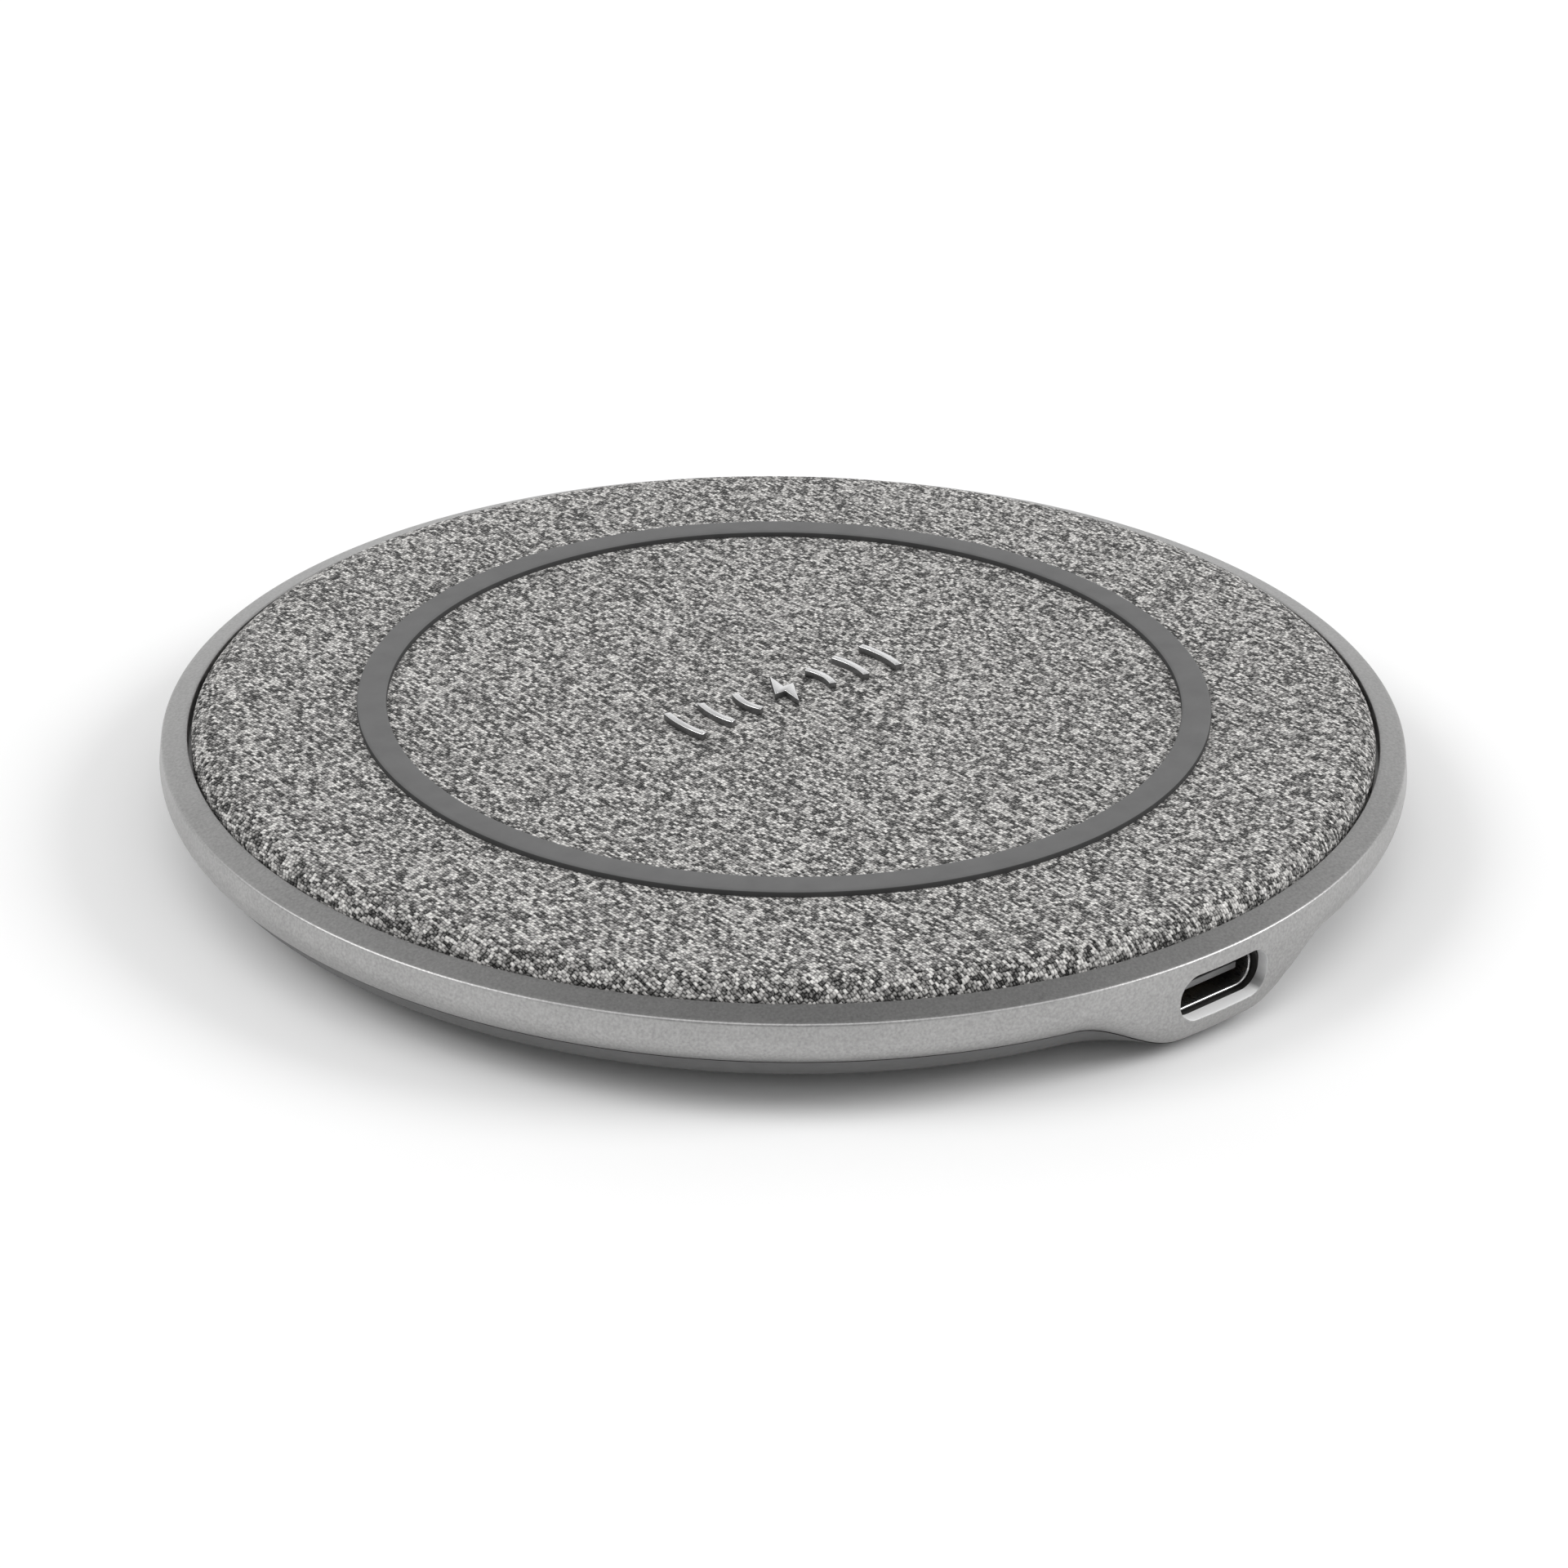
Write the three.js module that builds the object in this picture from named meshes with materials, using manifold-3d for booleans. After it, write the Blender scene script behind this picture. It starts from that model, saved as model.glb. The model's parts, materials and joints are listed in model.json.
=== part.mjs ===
// Round wireless charging pad, built as the separate pieces it is assembled from.
// Millimetres, +Z up. The origin is the centre of the underside, level with the bottom of
// the foot ring, and the USB-C inlet faces -Y. Angles round the pad are counted in degrees
// from +X, so the inlet is at 270.

import * as THREE from 'three';
import { mergeVertices } from 'three/addons/utils/BufferGeometryUtils.js';
import Module from 'manifold-3d';

const wasm = await Module();
wasm.setup();

// ---------------------------------------------------------------- driving dimensions

const RIM_SEGMENTS = 80;         // facets round the frame and the base plate
const SKIN_SEGMENTS = 64;        // facets round the fabric and the silicone rings
const INNER_SEGMENTS = 48;       // facets round the pieces inside
const SMALL_SEGMENTS = 16;       // facets round screws, bosses and leads

// Frame: a shallow metal ring with a sloping bezel, a barrelled side and an inner ledge
const EDGE_R = 50;               // the sharp edge between bezel and side
const EDGE_Z = 7.9;
const BEZEL_INNER_R = 47.9;      // the bezel ends here, at the groove round the fabric
const BEZEL_INNER_Z = 8.45;
const SIDE_R = 50.2;             // the side's fullest radius
const SIDE_CURVE = { topZ: 6.4, width: 2, height: 2.31, sweepDeg: 60 };
const FRAME_WALL_R = 47.8;       // inside of the side wall
const LEDGE_R = 44;
const LEDGE_LOW_Z = 6.1;
const LEDGE_TOP_Z = 7;

// Boss: the side reaches down round the inlet and blends back into the rim
const BOSS_DROP = 3.4;
const BOSS_FLAT_DEG = 4;         // half angle over which the drop is full
const BOSS_END_DEG = 15;         // half angle where the rim is plain again

// USB-C inlet
const INLET_Z = 4.4;             // centre height of the receptacle
const INLET_SLOT = { width: 9, height: 3.7, radius: 1.7 };
const SLOT_Z = 4.8;              // centre height of the frame's slot
const SHELL_OUTER = { width: 8.94, height: 3.16, radius: 1.4 };
const SHELL_INNER = { width: 8.34, height: 2.56, radius: 1.1 };
const SHELL_FRONT_Y = -48.2;
const SHELL_REAR_Y = -40.75;
const INLET_WALL_Y = -49.05;     // the frame's wall is thinned to here behind the slot
const INSERT_HOLE = { width: 9.1, height: 3.32, radius: 1.5 };
const INSERT = { width: 10.8, lowZ: 2.3, topZ: 6.75, rearY: -47.3, gap: 0.1 };
const TONGUE = { width: 6.69, height: 0.7, tipY: -47.95, rootY: -42.3 };
const INSULATOR = { width: 8.2, height: 2.4, radius: 1 };

// Base plate: a dished cover with a recess for the foot ring
const BASE_LOW_Z = 0.6;
const BASE_FLOOR_Z = 1.7;        // its inside floor
const BASE_SEAM = 0.1;           // gap to the frame's lower face
const DISH_START_R = 41.5;       // the outside starts to rise here
const DISH_OUTSIDE = { width: 8.1, height: 5.62 };
const DISH_INSIDE = { width: 5.85, height: 3.95 };
const DISH_SWEEP_DEG = 70;
const DISH_STEPS = 5;
const BOSS_LIP_Z = 0.9;          // the base's rim height under the boss
const FOOT_R = { inner: 35.5, outer: 41.3 };
const FOOT_CHAMFER = 0.2;
const FOOT_RECESS_Z = 0.9;
const FOOT_SIDE_GAP = 0.1;

// Top: carrier plate, adhesive film, fabric and the silicone ring on it
const FLAT_TOP_R = 45.1;         // the fabric starts to roll over here
const TOP_PLATE_LOW_Z = 7.25;
const TOP_PLATE_TOP_Z = 8.6;
const TOP_PLATE_ROLL = { width: 1.6, height: 0.85 };
const TOP_PLATE_STEP_GAP = 0.2;  // between the plate's underside step and the ledge
const ADHESIVE_THICKNESS = 0.15;
const FABRIC_LOW_Z = TOP_PLATE_TOP_Z + ADHESIVE_THICKNESS;
const FABRIC_TOP_Z = 9.6;
const FABRIC_OUTER_ROLL = { width: 2.5, height: 1.6 };
const FABRIC_INNER_ROLL = { width: 1.8, height: 0.9 };
const RING_R = { inner: 32, outer: 34.4 };
const RING_TOP_Z = 10.15;
const RING_SHOULDER = 0.25;

// Emblem: a lightning bolt between growing arcs, raised on the fabric
const EMBLEM_HEIGHT = 0.6;
const EMBLEM_STROKE = 0.6;
const EMBLEM_ARCS = [
  { radius: 4.1, halfDeg: 24 },
  { radius: 7.3, halfDeg: 16.5 },
  { radius: 10.5, halfDeg: 13 },
];
const BOLT_OUTLINE = [
  [0.55, 2.5], [-1.25, -0.35], [-0.2, -0.35],
  [-0.55, -2.5], [1.25, 0.35], [0.2, 0.35],
];

// Screws that clamp the frame between the base and the top plate
const SCREW_CIRCLE_R = 38.4;
const SCREW_COUNT = 4;
const SCREW_FIRST_DEG = 45;
const SCREW_HEAD = { radius: 1.7, lowZ: 0.95, topZ: 1.5, slotWidth: 0.4, slotDepth: 0.35 };
const SCREW_SHANK = { radius: 0.95, topZ: 5.6, pointLength: 0.6 };
const COUNTERBORE = { radius: 1.9, topZ: 1.55 };
const CLEARANCE_HOLE_R = 1.15;
const BASE_PAD = { radius: 2.8, lowZ: 1.2, topZ: 2.3 };
const TOP_BOSS = { radius: 2.2, boreRadius: 1, boreTopZ: 6 };

// Coil, ferrite and the foam under them
const COIL = { innerR: 10.5, turns: 9.5, pitch: 1.22, width: 0.9, lowZ: 6.15, topZ: 7.15 };
const COIL_STEPS_PER_TURN = 20;
const COIL_START_DEG = 35;
const LEAD_SIZE = 0.9;
const LEAD_FOOT_R = 30;
const INNER_LEAD_Z = 5.4;
const FERRITE = { radius: 25.5, lowZ: 5, topZ: 6, slotWidth: 1.7, slotInnerR: 8.5 };
const THERMISTOR_R = 0.5;
const FOAM = { radius: 17, topZ: 4.95 };

// Main board and its components: sizes are width along the radius, depth and height
const BOARD_TOP_Z = INLET_Z - SHELL_OUTER.height / 2;
const BOARD_THICKNESS = 0.8;
const BOARD_R = { inner: 27, outer: 43.4 };
const BOARD_TAB = { halfWidth: 5.2, endY: -45.6 };
const BOARD_BOSS_HOLE_R = 3.3;
const SOLDER_GAP = 0.05;
const MOSFET_R = 32;
const RESONANT_CAPACITOR_R = 39.5;
const BRIDGE_ANGLES = [165, 175, 185, 195];
const THERMAL_PAD = { innerX: -29, outerX: -40, halfDepth: 7.5 };

// Status light, opposite the inlet
const LIGHT_Z = 5.2;
const LIGHT_PIPE_R = 0.55;
const LIGHT_LEG_R = 0.6;
const LIGHT_HOLE_R = 0.65;
const LIGHT_LEG_Y = 42.4;
const LIGHT_LEG_LOW_Z = 3.8;
const LIGHT_END_Y = 50.05;

const CUT_MARGIN = 1;            // how far a cutter runs past the face it cuts

// ---------------------------------------------------------------- geometry helpers

const degrees = THREE.MathUtils.degToRad;

// Position-only geometry with shared corners and no collapsed triangles
function weld(geometry) {
  geometry.deleteAttribute('normal');
  geometry.deleteAttribute('uv');
  const merged = mergeVertices(geometry);
  const corners = merged.index.array;
  const kept = [];
  for (let i = 0; i < corners.length; i += 3) {
    const [a, b, c] = corners.slice(i, i + 3);
    if (a !== b && b !== c && c !== a) {
      kept.push(a, b, c);
    }
  }
  merged.setIndex(kept);
  return merged;
}

function toSolid(geometry) {
  const welded = weld(geometry);
  const mesh = new wasm.Mesh({
    numProp: 3,
    vertProperties: new Float32Array(welded.attributes.position.array),
    triVerts: new Uint32Array(welded.index.array),
  });
  return new wasm.Manifold(mesh);
}

// The first geometry with others joined to it and then cut from it
function shaped(geometry, { joined = [], cut = [] }) {
  let solid = toSolid(geometry);
  for (const piece of joined) {
    solid = solid.add(toSolid(piece));
  }
  for (const piece of cut) {
    solid = solid.subtract(toSolid(piece));
  }
  const mesh = solid.getMesh();
  const result = new THREE.BufferGeometry();
  result.setAttribute('position', new THREE.BufferAttribute(mesh.vertProperties, 3));
  result.setIndex(new THREE.BufferAttribute(mesh.triVerts, 1));
  return result;
}

// [radius, height] points on an ellipse's arc, its angle counted from straight up
function arcPoints([centreR, centreZ], { width, height }, fromDeg, toDeg, steps) {
  return Array.from({ length: steps + 1 }, (_, i) => {
    const angle = degrees(fromDeg + ((toDeg - fromDeg) * i) / steps);
    return [centreR + width * Math.sin(angle), centreZ + height * Math.cos(angle)];
  });
}

// A roll from a flat top, which ends at startR and topZ, down to a vertical side
function rollPoints(startR, topZ, roll, steps) {
  return arcPoints([startR, topZ - roll.height], roll, 0, 90, steps);
}

// A [radius, height] profile turned about Z; a ring's profile closes on itself
function turned(profile, segments, { ring = false } = {}) {
  const points = profile.map(([r, z]) => new THREE.Vector2(r, z));
  if (ring) {
    points.push(points[0].clone());
  }
  return weld(new THREE.LatheGeometry(points, segments).rotateX(Math.PI / 2));
}

function disc(radius, lowZ, topZ, segments) {
  return turned([[0, lowZ], [radius, lowZ], [radius, topZ], [0, topZ]], segments);
}

function cylinderAt([x, y], radius, lowZ, topZ) {
  return disc(radius, lowZ, topZ, SMALL_SEGMENTS).translate(x, y, 0);
}

function blockBetween(low, high) {
  const size = high.map((value, axis) => value - low[axis]);
  const centre = high.map((value, axis) => (value + low[axis]) / 2);
  return new THREE.BoxGeometry(...size).translate(...centre);
}

function roundedShape({ width, height, radius }) {
  const x = width / 2 - radius;
  const y = height / 2 - radius;
  const shape = new THREE.Shape();
  shape.absarc(x, y, radius, 0, Math.PI / 2);
  shape.absarc(-x, y, radius, Math.PI / 2, Math.PI);
  shape.absarc(-x, -y, radius, Math.PI, Math.PI * 1.5);
  shape.absarc(x, -y, radius, Math.PI * 1.5, Math.PI * 2);
  return shape;
}

// A rounded shape centred on the inlet, run along Y from front to rear
function alongInlet(size, frontY, rearY, z = INLET_Z) {
  const geometry = new THREE.ExtrudeGeometry(roundedShape(size), {
    depth: rearY - frontY,
    bevelEnabled: false,
    curveSegments: 5,
  });
  return weld(geometry.rotateX(Math.PI / 2).translate(0, rearY, z));
}

// A round rod along Y from front to rear
function rodAlongY(radius, frontY, rearY, z) {
  return disc(radius, 0, rearY - frontY, SMALL_SEGMENTS)
    .rotateX(-Math.PI / 2)
    .translate(0, frontY, z);
}

function polar(radius, angleDeg) {
  const angle = degrees(angleDeg);
  return [radius * Math.cos(angle), radius * Math.sin(angle)];
}

function screwPlaces() {
  return Array.from({ length: SCREW_COUNT }, (_, i) =>
    polar(SCREW_CIRCLE_R, SCREW_FIRST_DEG + (i * 360) / SCREW_COUNT));
}

// 1 over the middle of the boss, 0 on the plain rim; counted from the inlet
function bossBlend(fromInletDeg) {
  const away = Math.min(fromInletDeg, 360 - fromInletDeg);
  return 1 - THREE.MathUtils.smoothstep(away, BOSS_FLAT_DEG, BOSS_END_DEG);
}

// A turned piece whose section's heights change over the boss. A lathe's points run round
// from -Y, so its first section lies at the inlet.
function bossedTurned(sectionAt, { ring }) {
  const plain = sectionAt(0).map(([r, z]) => new THREE.Vector2(r, z));
  if (ring) {
    plain.push(plain[0].clone());
  }
  const geometry = new THREE.LatheGeometry(plain, RIM_SEGMENTS);
  const position = geometry.attributes.position;
  for (let i = 0; i <= RIM_SEGMENTS; i += 1) {
    const section = sectionAt(bossBlend((i * 360) / RIM_SEGMENTS));
    for (let j = 0; j < plain.length; j += 1) {
      position.setY(i * plain.length + j, section[j % section.length][1]);
    }
  }
  return weld(geometry.rotateX(Math.PI / 2));
}

// ---------------------------------------------------------------- materials

function material(color, roughness, metalness = 0) {
  return new THREE.MeshStandardMaterial({ color, roughness, metalness, flatShading: true });
}

const blastedAluminium = () => material(0xa9a9a7, 0.45, 0.9);
const melangeFabric = () => material(0x8e8e8c, 0.95);
const greySilicone = () => material(0x6f7072, 0.6);
const emblemMetal = () => material(0xc4c4c2, 0.35, 0.9);
const darkPlastic = () => material(0x3a3b3c, 0.6);
const blackPlastic = () => material(0x141414, 0.5);
const carrierPlastic = () => material(0xd8d8d4, 0.55);
const stainlessSteel = () => material(0xc9c9c8, 0.3, 1);
const connectorPlastic = () => material(0x4a4a4c, 0.5);
const clearAcrylic = () => material(0xe8f0f4, 0.1);
const copperWire = () => material(0xb86f3c, 0.4, 0.9);
const ferriteCeramic = () => material(0x2b2b2e, 0.6);
const boardLaminate = () => material(0x1f5a3a, 0.5);
const chipResin = () => material(0x1c1c1e, 0.55);
const capacitorCeramic = () => material(0xa88a62, 0.5);
const adhesiveTape = () => material(0xe0d8c0, 0.4);
const greyFoam = () => material(0x55565a, 0.95);
const thermalSilicone = () => material(0x7f9fb8, 0.7);

// ---------------------------------------------------------------- frame and base

// The side's curve, from its fullest point down to the crease at its bottom
const FRAME_SIDE = arcPoints(
  [SIDE_R - SIDE_CURVE.width, SIDE_CURVE.topZ], SIDE_CURVE, 90, 90 + SIDE_CURVE.sweepDeg, 3,
);
const FRAME_LOW_Z = FRAME_SIDE.at(-1)[1];

function frameSection(blend) {
  const drop = BOSS_DROP * blend;
  const [fullest, ...below] = FRAME_SIDE;
  const dropped = below.map(([r, z]) => [r, z - drop]);
  return [
    [BEZEL_INNER_R, LEDGE_TOP_Z],
    [LEDGE_R, LEDGE_TOP_Z],
    [LEDGE_R, LEDGE_LOW_Z],
    [FRAME_WALL_R, LEDGE_LOW_Z],
    [FRAME_WALL_R, FRAME_LOW_Z - drop],
    ...dropped.reverse(),
    fullest,
    [EDGE_R, EDGE_Z],
    [BEZEL_INNER_R, BEZEL_INNER_Z],
  ];
}

// Ring with the inlet slot, a pocket behind it for the plastic insert, and the light's hole
function outerFrame() {
  const slot = alongInlet(INLET_SLOT, -SIDE_R - CUT_MARGIN, INSERT.rearY, SLOT_Z);
  const pocketHalf = INSERT.width / 2 + INSERT.gap;
  const pocket = blockBetween(
    [-pocketHalf, INLET_WALL_Y, INSERT.lowZ - INSERT.gap],
    [pocketHalf, INSERT.rearY + CUT_MARGIN, INSERT.topZ + INSERT.gap],
  );
  const lightHole = rodAlongY(
    LIGHT_HOLE_R, FRAME_WALL_R - CUT_MARGIN, SIDE_R + CUT_MARGIN, LIGHT_Z,
  );
  return shaped(bossedTurned(frameSection, { ring: true }), { cut: [slot, pocket, lightHole] });
}

// The dish's outside from the middle out to the rim, then its inside back to the middle.
// Over the boss both flatten, so the rim runs under the frame's lower lip.
function baseSection(blend) {
  const outside = arcPoints(
    [DISH_START_R, BASE_LOW_Z + DISH_OUTSIDE.height], DISH_OUTSIDE,
    180, 180 - DISH_SWEEP_DEG, DISH_STEPS,
  );
  const inside = arcPoints(
    [DISH_START_R, BASE_FLOOR_Z + DISH_INSIDE.height], DISH_INSIDE,
    180 - DISH_SWEEP_DEG, 180, DISH_STEPS,
  ).slice(1);
  const rimZ = FRAME_LOW_Z - BASE_SEAM;
  const rimInnerR = DISH_START_R + DISH_INSIDE.width * Math.sin(degrees(DISH_SWEEP_DEG));
  const keptRise = 1 - blend * (1 - (BOSS_LIP_Z - BASE_LOW_Z) / (rimZ - BASE_LOW_Z));
  const flattened = (z) => BASE_LOW_Z + (z - BASE_LOW_Z) * keptRise;
  return [
    [0, BASE_LOW_Z],
    [FOOT_R.inner - FOOT_SIDE_GAP, BASE_LOW_Z],
    [FOOT_R.inner - FOOT_SIDE_GAP, FOOT_RECESS_Z],
    [FOOT_R.outer + FOOT_SIDE_GAP, FOOT_RECESS_Z],
    [FOOT_R.outer + FOOT_SIDE_GAP, BASE_LOW_Z],
    ...outside.map(([r, z]) => [r, flattened(Math.min(z, rimZ))]),
    [rimInnerR, flattened(rimZ)],
    ...inside.map(([r, z]) => [r, BASE_FLOOR_Z + (z - BASE_FLOOR_Z) * (1 - blend)]),
    [0, BASE_FLOOR_Z],
  ];
}

function basePlate() {
  const places = screwPlaces();
  const pads = places.map((place) =>
    cylinderAt(place, BASE_PAD.radius, BASE_PAD.lowZ, BASE_PAD.topZ));
  const counterbores = places.map((place) =>
    cylinderAt(place, COUNTERBORE.radius, BASE_LOW_Z - CUT_MARGIN, COUNTERBORE.topZ));
  const holes = places.map((place) =>
    cylinderAt(place, CLEARANCE_HOLE_R, BASE_LOW_Z, BASE_PAD.topZ + CUT_MARGIN));
  return shaped(bossedTurned(baseSection, { ring: false }), {
    joined: pads,
    cut: [...counterbores, ...holes],
  });
}

function footRing() {
  return turned([
    [FOOT_R.inner + FOOT_CHAMFER, 0],
    [FOOT_R.outer - FOOT_CHAMFER, 0],
    [FOOT_R.outer, FOOT_CHAMFER],
    [FOOT_R.outer, FOOT_RECESS_Z],
    [FOOT_R.inner, FOOT_RECESS_Z],
    [FOOT_R.inner, FOOT_CHAMFER],
  ], SKIN_SEGMENTS, { ring: true });
}

// Pan-head screw with a cross recess, up through the base into the top plate's boss
function baseScrew() {
  const body = turned([
    [0, SCREW_HEAD.lowZ],
    [SCREW_HEAD.radius, SCREW_HEAD.lowZ],
    [SCREW_HEAD.radius, SCREW_HEAD.topZ],
    [SCREW_SHANK.radius, SCREW_HEAD.topZ],
    [SCREW_SHANK.radius, SCREW_SHANK.topZ - SCREW_SHANK.pointLength],
    [0, SCREW_SHANK.topZ],
  ], SMALL_SEGMENTS);
  const halfWidth = SCREW_HEAD.slotWidth / 2;
  const halfLength = SCREW_HEAD.radius * 0.6;
  const slots = [[halfLength, halfWidth], [halfWidth, halfLength]].map(([x, y]) =>
    blockBetween([-x, -y, 0], [x, y, SCREW_HEAD.lowZ + SCREW_HEAD.slotDepth]));
  return shaped(body, { cut: slots });
}

// ---------------------------------------------------------------- fabric and emblem

// Sheet over the top plate, rolled over its edge down into the frame's groove
function fabricCover() {
  const inner = rollPoints(FLAT_TOP_R, FABRIC_LOW_Z, FABRIC_INNER_ROLL, 2);
  const outer = rollPoints(FLAT_TOP_R, FABRIC_TOP_Z, FABRIC_OUTER_ROLL, 4);
  return turned([
    [0, FABRIC_LOW_Z],
    ...inner,
    [inner.at(-1)[0], LEDGE_TOP_Z],
    [outer.at(-1)[0], LEDGE_TOP_Z],
    ...outer.reverse(),
    [0, FABRIC_TOP_Z],
  ], SKIN_SEGMENTS);
}

function siliconeRing() {
  return turned([
    [RING_R.inner, FABRIC_TOP_Z],
    [RING_R.outer, FABRIC_TOP_Z],
    [RING_R.outer, RING_TOP_Z - RING_SHOULDER],
    [RING_R.outer - RING_SHOULDER, RING_TOP_Z],
    [RING_R.inner + RING_SHOULDER, RING_TOP_Z],
    [RING_R.inner, RING_TOP_Z - RING_SHOULDER],
  ], SKIN_SEGMENTS, { ring: true });
}

function raisedOnFabric(shape) {
  const geometry = new THREE.ExtrudeGeometry(shape, {
    depth: EMBLEM_HEIGHT,
    bevelEnabled: false,
    curveSegments: 8,
  });
  return weld(geometry.translate(0, 0, FABRIC_TOP_Z));
}

function emblemBolt() {
  return raisedOnFabric(new THREE.Shape(BOLT_OUTLINE.map(([x, y]) => new THREE.Vector2(x, y))));
}

// One arc of the emblem, bulging away from the bolt; side is 1 on the right, -1 on the left
function emblemArc({ radius, halfDeg }, side) {
  const middle = side > 0 ? 0 : Math.PI;
  const half = degrees(halfDeg);
  const shape = new THREE.Shape();
  shape.absarc(0, 0, radius + EMBLEM_STROKE / 2, middle - half, middle + half, false);
  shape.absarc(0, 0, radius - EMBLEM_STROKE / 2, middle + half, middle - half, true);
  return raisedOnFabric(shape);
}

// ---------------------------------------------------------------- inlet

// Black plastic insert that fills the frame's pocket and holds the shell's front
function inletInsert() {
  const body = blockBetween(
    [-INSERT.width / 2, INLET_WALL_Y + INSERT.gap, INSERT.lowZ],
    [INSERT.width / 2, INSERT.rearY, INSERT.topZ],
  );
  const hole = alongInlet(INSERT_HOLE, INLET_WALL_Y - CUT_MARGIN, INSERT.rearY + CUT_MARGIN);
  return shaped(body, { cut: [hole] });
}

function usbShell() {
  const body = alongInlet(SHELL_OUTER, SHELL_FRONT_Y, SHELL_REAR_Y);
  const inside = alongInlet(SHELL_INNER, SHELL_FRONT_Y - CUT_MARGIN, SHELL_REAR_Y + CUT_MARGIN);
  return shaped(body, { cut: [inside] });
}

// The tongue that carries the contacts, on the insulator that closes the shell's rear
function usbTongue() {
  const insulator = alongInlet(INSULATOR, TONGUE.rootY, SHELL_REAR_Y);
  const tongue = blockBetween(
    [-TONGUE.width / 2, TONGUE.tipY, INLET_Z - TONGUE.height / 2],
    [TONGUE.width / 2, (TONGUE.rootY + SHELL_REAR_Y) / 2, INLET_Z + TONGUE.height / 2],
  );
  return shaped(insulator, { joined: [tongue] });
}

// ---------------------------------------------------------------- top plate and coil

function topPlate() {
  const roll = rollPoints(FLAT_TOP_R, TOP_PLATE_TOP_Z, TOP_PLATE_ROLL, 2);
  const plate = turned([
    [0, TOP_PLATE_LOW_Z],
    [LEDGE_R - TOP_PLATE_STEP_GAP, TOP_PLATE_LOW_Z],
    [LEDGE_R - TOP_PLATE_STEP_GAP, LEDGE_TOP_Z],
    [roll.at(-1)[0], LEDGE_TOP_Z],
    ...roll.reverse(),
    [0, TOP_PLATE_TOP_Z],
  ], INNER_SEGMENTS);
  const places = screwPlaces();
  const intoPlateZ = (TOP_PLATE_LOW_Z + TOP_PLATE_TOP_Z) / 2;
  const bosses = places.map((place) =>
    cylinderAt(place, TOP_BOSS.radius, BASE_PAD.topZ, intoPlateZ));
  const bores = places.map((place) =>
    cylinderAt(place, TOP_BOSS.boreRadius, BASE_PAD.topZ - CUT_MARGIN, TOP_BOSS.boreTopZ));
  return shaped(plate, { joined: bosses, cut: bores });
}

// The flat turns as one spiral strip
function coilTurns() {
  const steps = Math.round(COIL.turns * COIL_STEPS_PER_TURN);
  const edge = (offset) => Array.from({ length: steps + 1 }, (_, step) => {
    const turnsMade = step / COIL_STEPS_PER_TURN;
    const radius = COIL.innerR + turnsMade * COIL.pitch + offset;
    return new THREE.Vector2(...polar(radius, COIL_START_DEG + turnsMade * 360));
  });
  const outline = [...edge(COIL.width / 2), ...edge(-COIL.width / 2).reverse()];
  const strip = new THREE.ExtrudeGeometry(new THREE.Shape(outline), {
    depth: COIL.topZ - COIL.lowZ,
    bevelEnabled: false,
  });
  return weld(strip.translate(0, 0, COIL.lowZ));
}

// Spiral of square-section conductor. The outer end runs out and down to the board; the
// inner end drops into the ferrite's slot and runs out under the turns.
function transmitCoil() {
  const half = LEAD_SIZE / 2;
  const outerEndR = COIL.innerR + COIL.turns * COIL.pitch - half;
  const outerEndDeg = COIL_START_DEG + COIL.turns * 360;
  const innerEndR = COIL.innerR - half;
  const innerLowZ = INNER_LEAD_Z - half;
  const innerTopZ = INNER_LEAD_Z + half;
  const footLowZ = BOARD_TOP_Z + SOLDER_GAP;
  const lead = ([fromR, toR], [lowZ, topZ], angleDeg) =>
    blockBetween([fromR, -half, lowZ], [toR, half, topZ]).rotateZ(degrees(angleDeg));
  return shaped(coilTurns(), {
    joined: [
      lead([outerEndR, LEAD_FOOT_R], [COIL.lowZ, COIL.topZ], outerEndDeg),
      lead([LEAD_FOOT_R - LEAD_SIZE, LEAD_FOOT_R], [footLowZ, COIL.topZ], outerEndDeg),
      lead([innerEndR, innerEndR + LEAD_SIZE], [innerLowZ, COIL.topZ], COIL_START_DEG),
      lead([innerEndR, LEAD_FOOT_R], [innerLowZ, innerTopZ], COIL_START_DEG),
      lead([LEAD_FOOT_R - LEAD_SIZE, LEAD_FOOT_R], [footLowZ, innerTopZ], COIL_START_DEG),
    ],
  });
}

function ferriteSheet() {
  const sheet = disc(FERRITE.radius, FERRITE.lowZ, FERRITE.topZ, INNER_SEGMENTS);
  const slot = blockBetween(
    [FERRITE.slotInnerR, -FERRITE.slotWidth / 2, FERRITE.lowZ - CUT_MARGIN],
    [FERRITE.radius + CUT_MARGIN, FERRITE.slotWidth / 2, FERRITE.topZ + CUT_MARGIN],
  ).rotateZ(degrees(COIL_START_DEG));
  return shaped(sheet, { cut: [slot] });
}

// Bead in the middle of the coil, against the top plate
function thermistorBead() {
  const size = { width: THERMISTOR_R, height: THERMISTOR_R };
  return turned(arcPoints([0, COIL.topZ - THERMISTOR_R], size, 180, 0, 6), SMALL_SEGMENTS);
}

// ---------------------------------------------------------------- electronics

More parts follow.
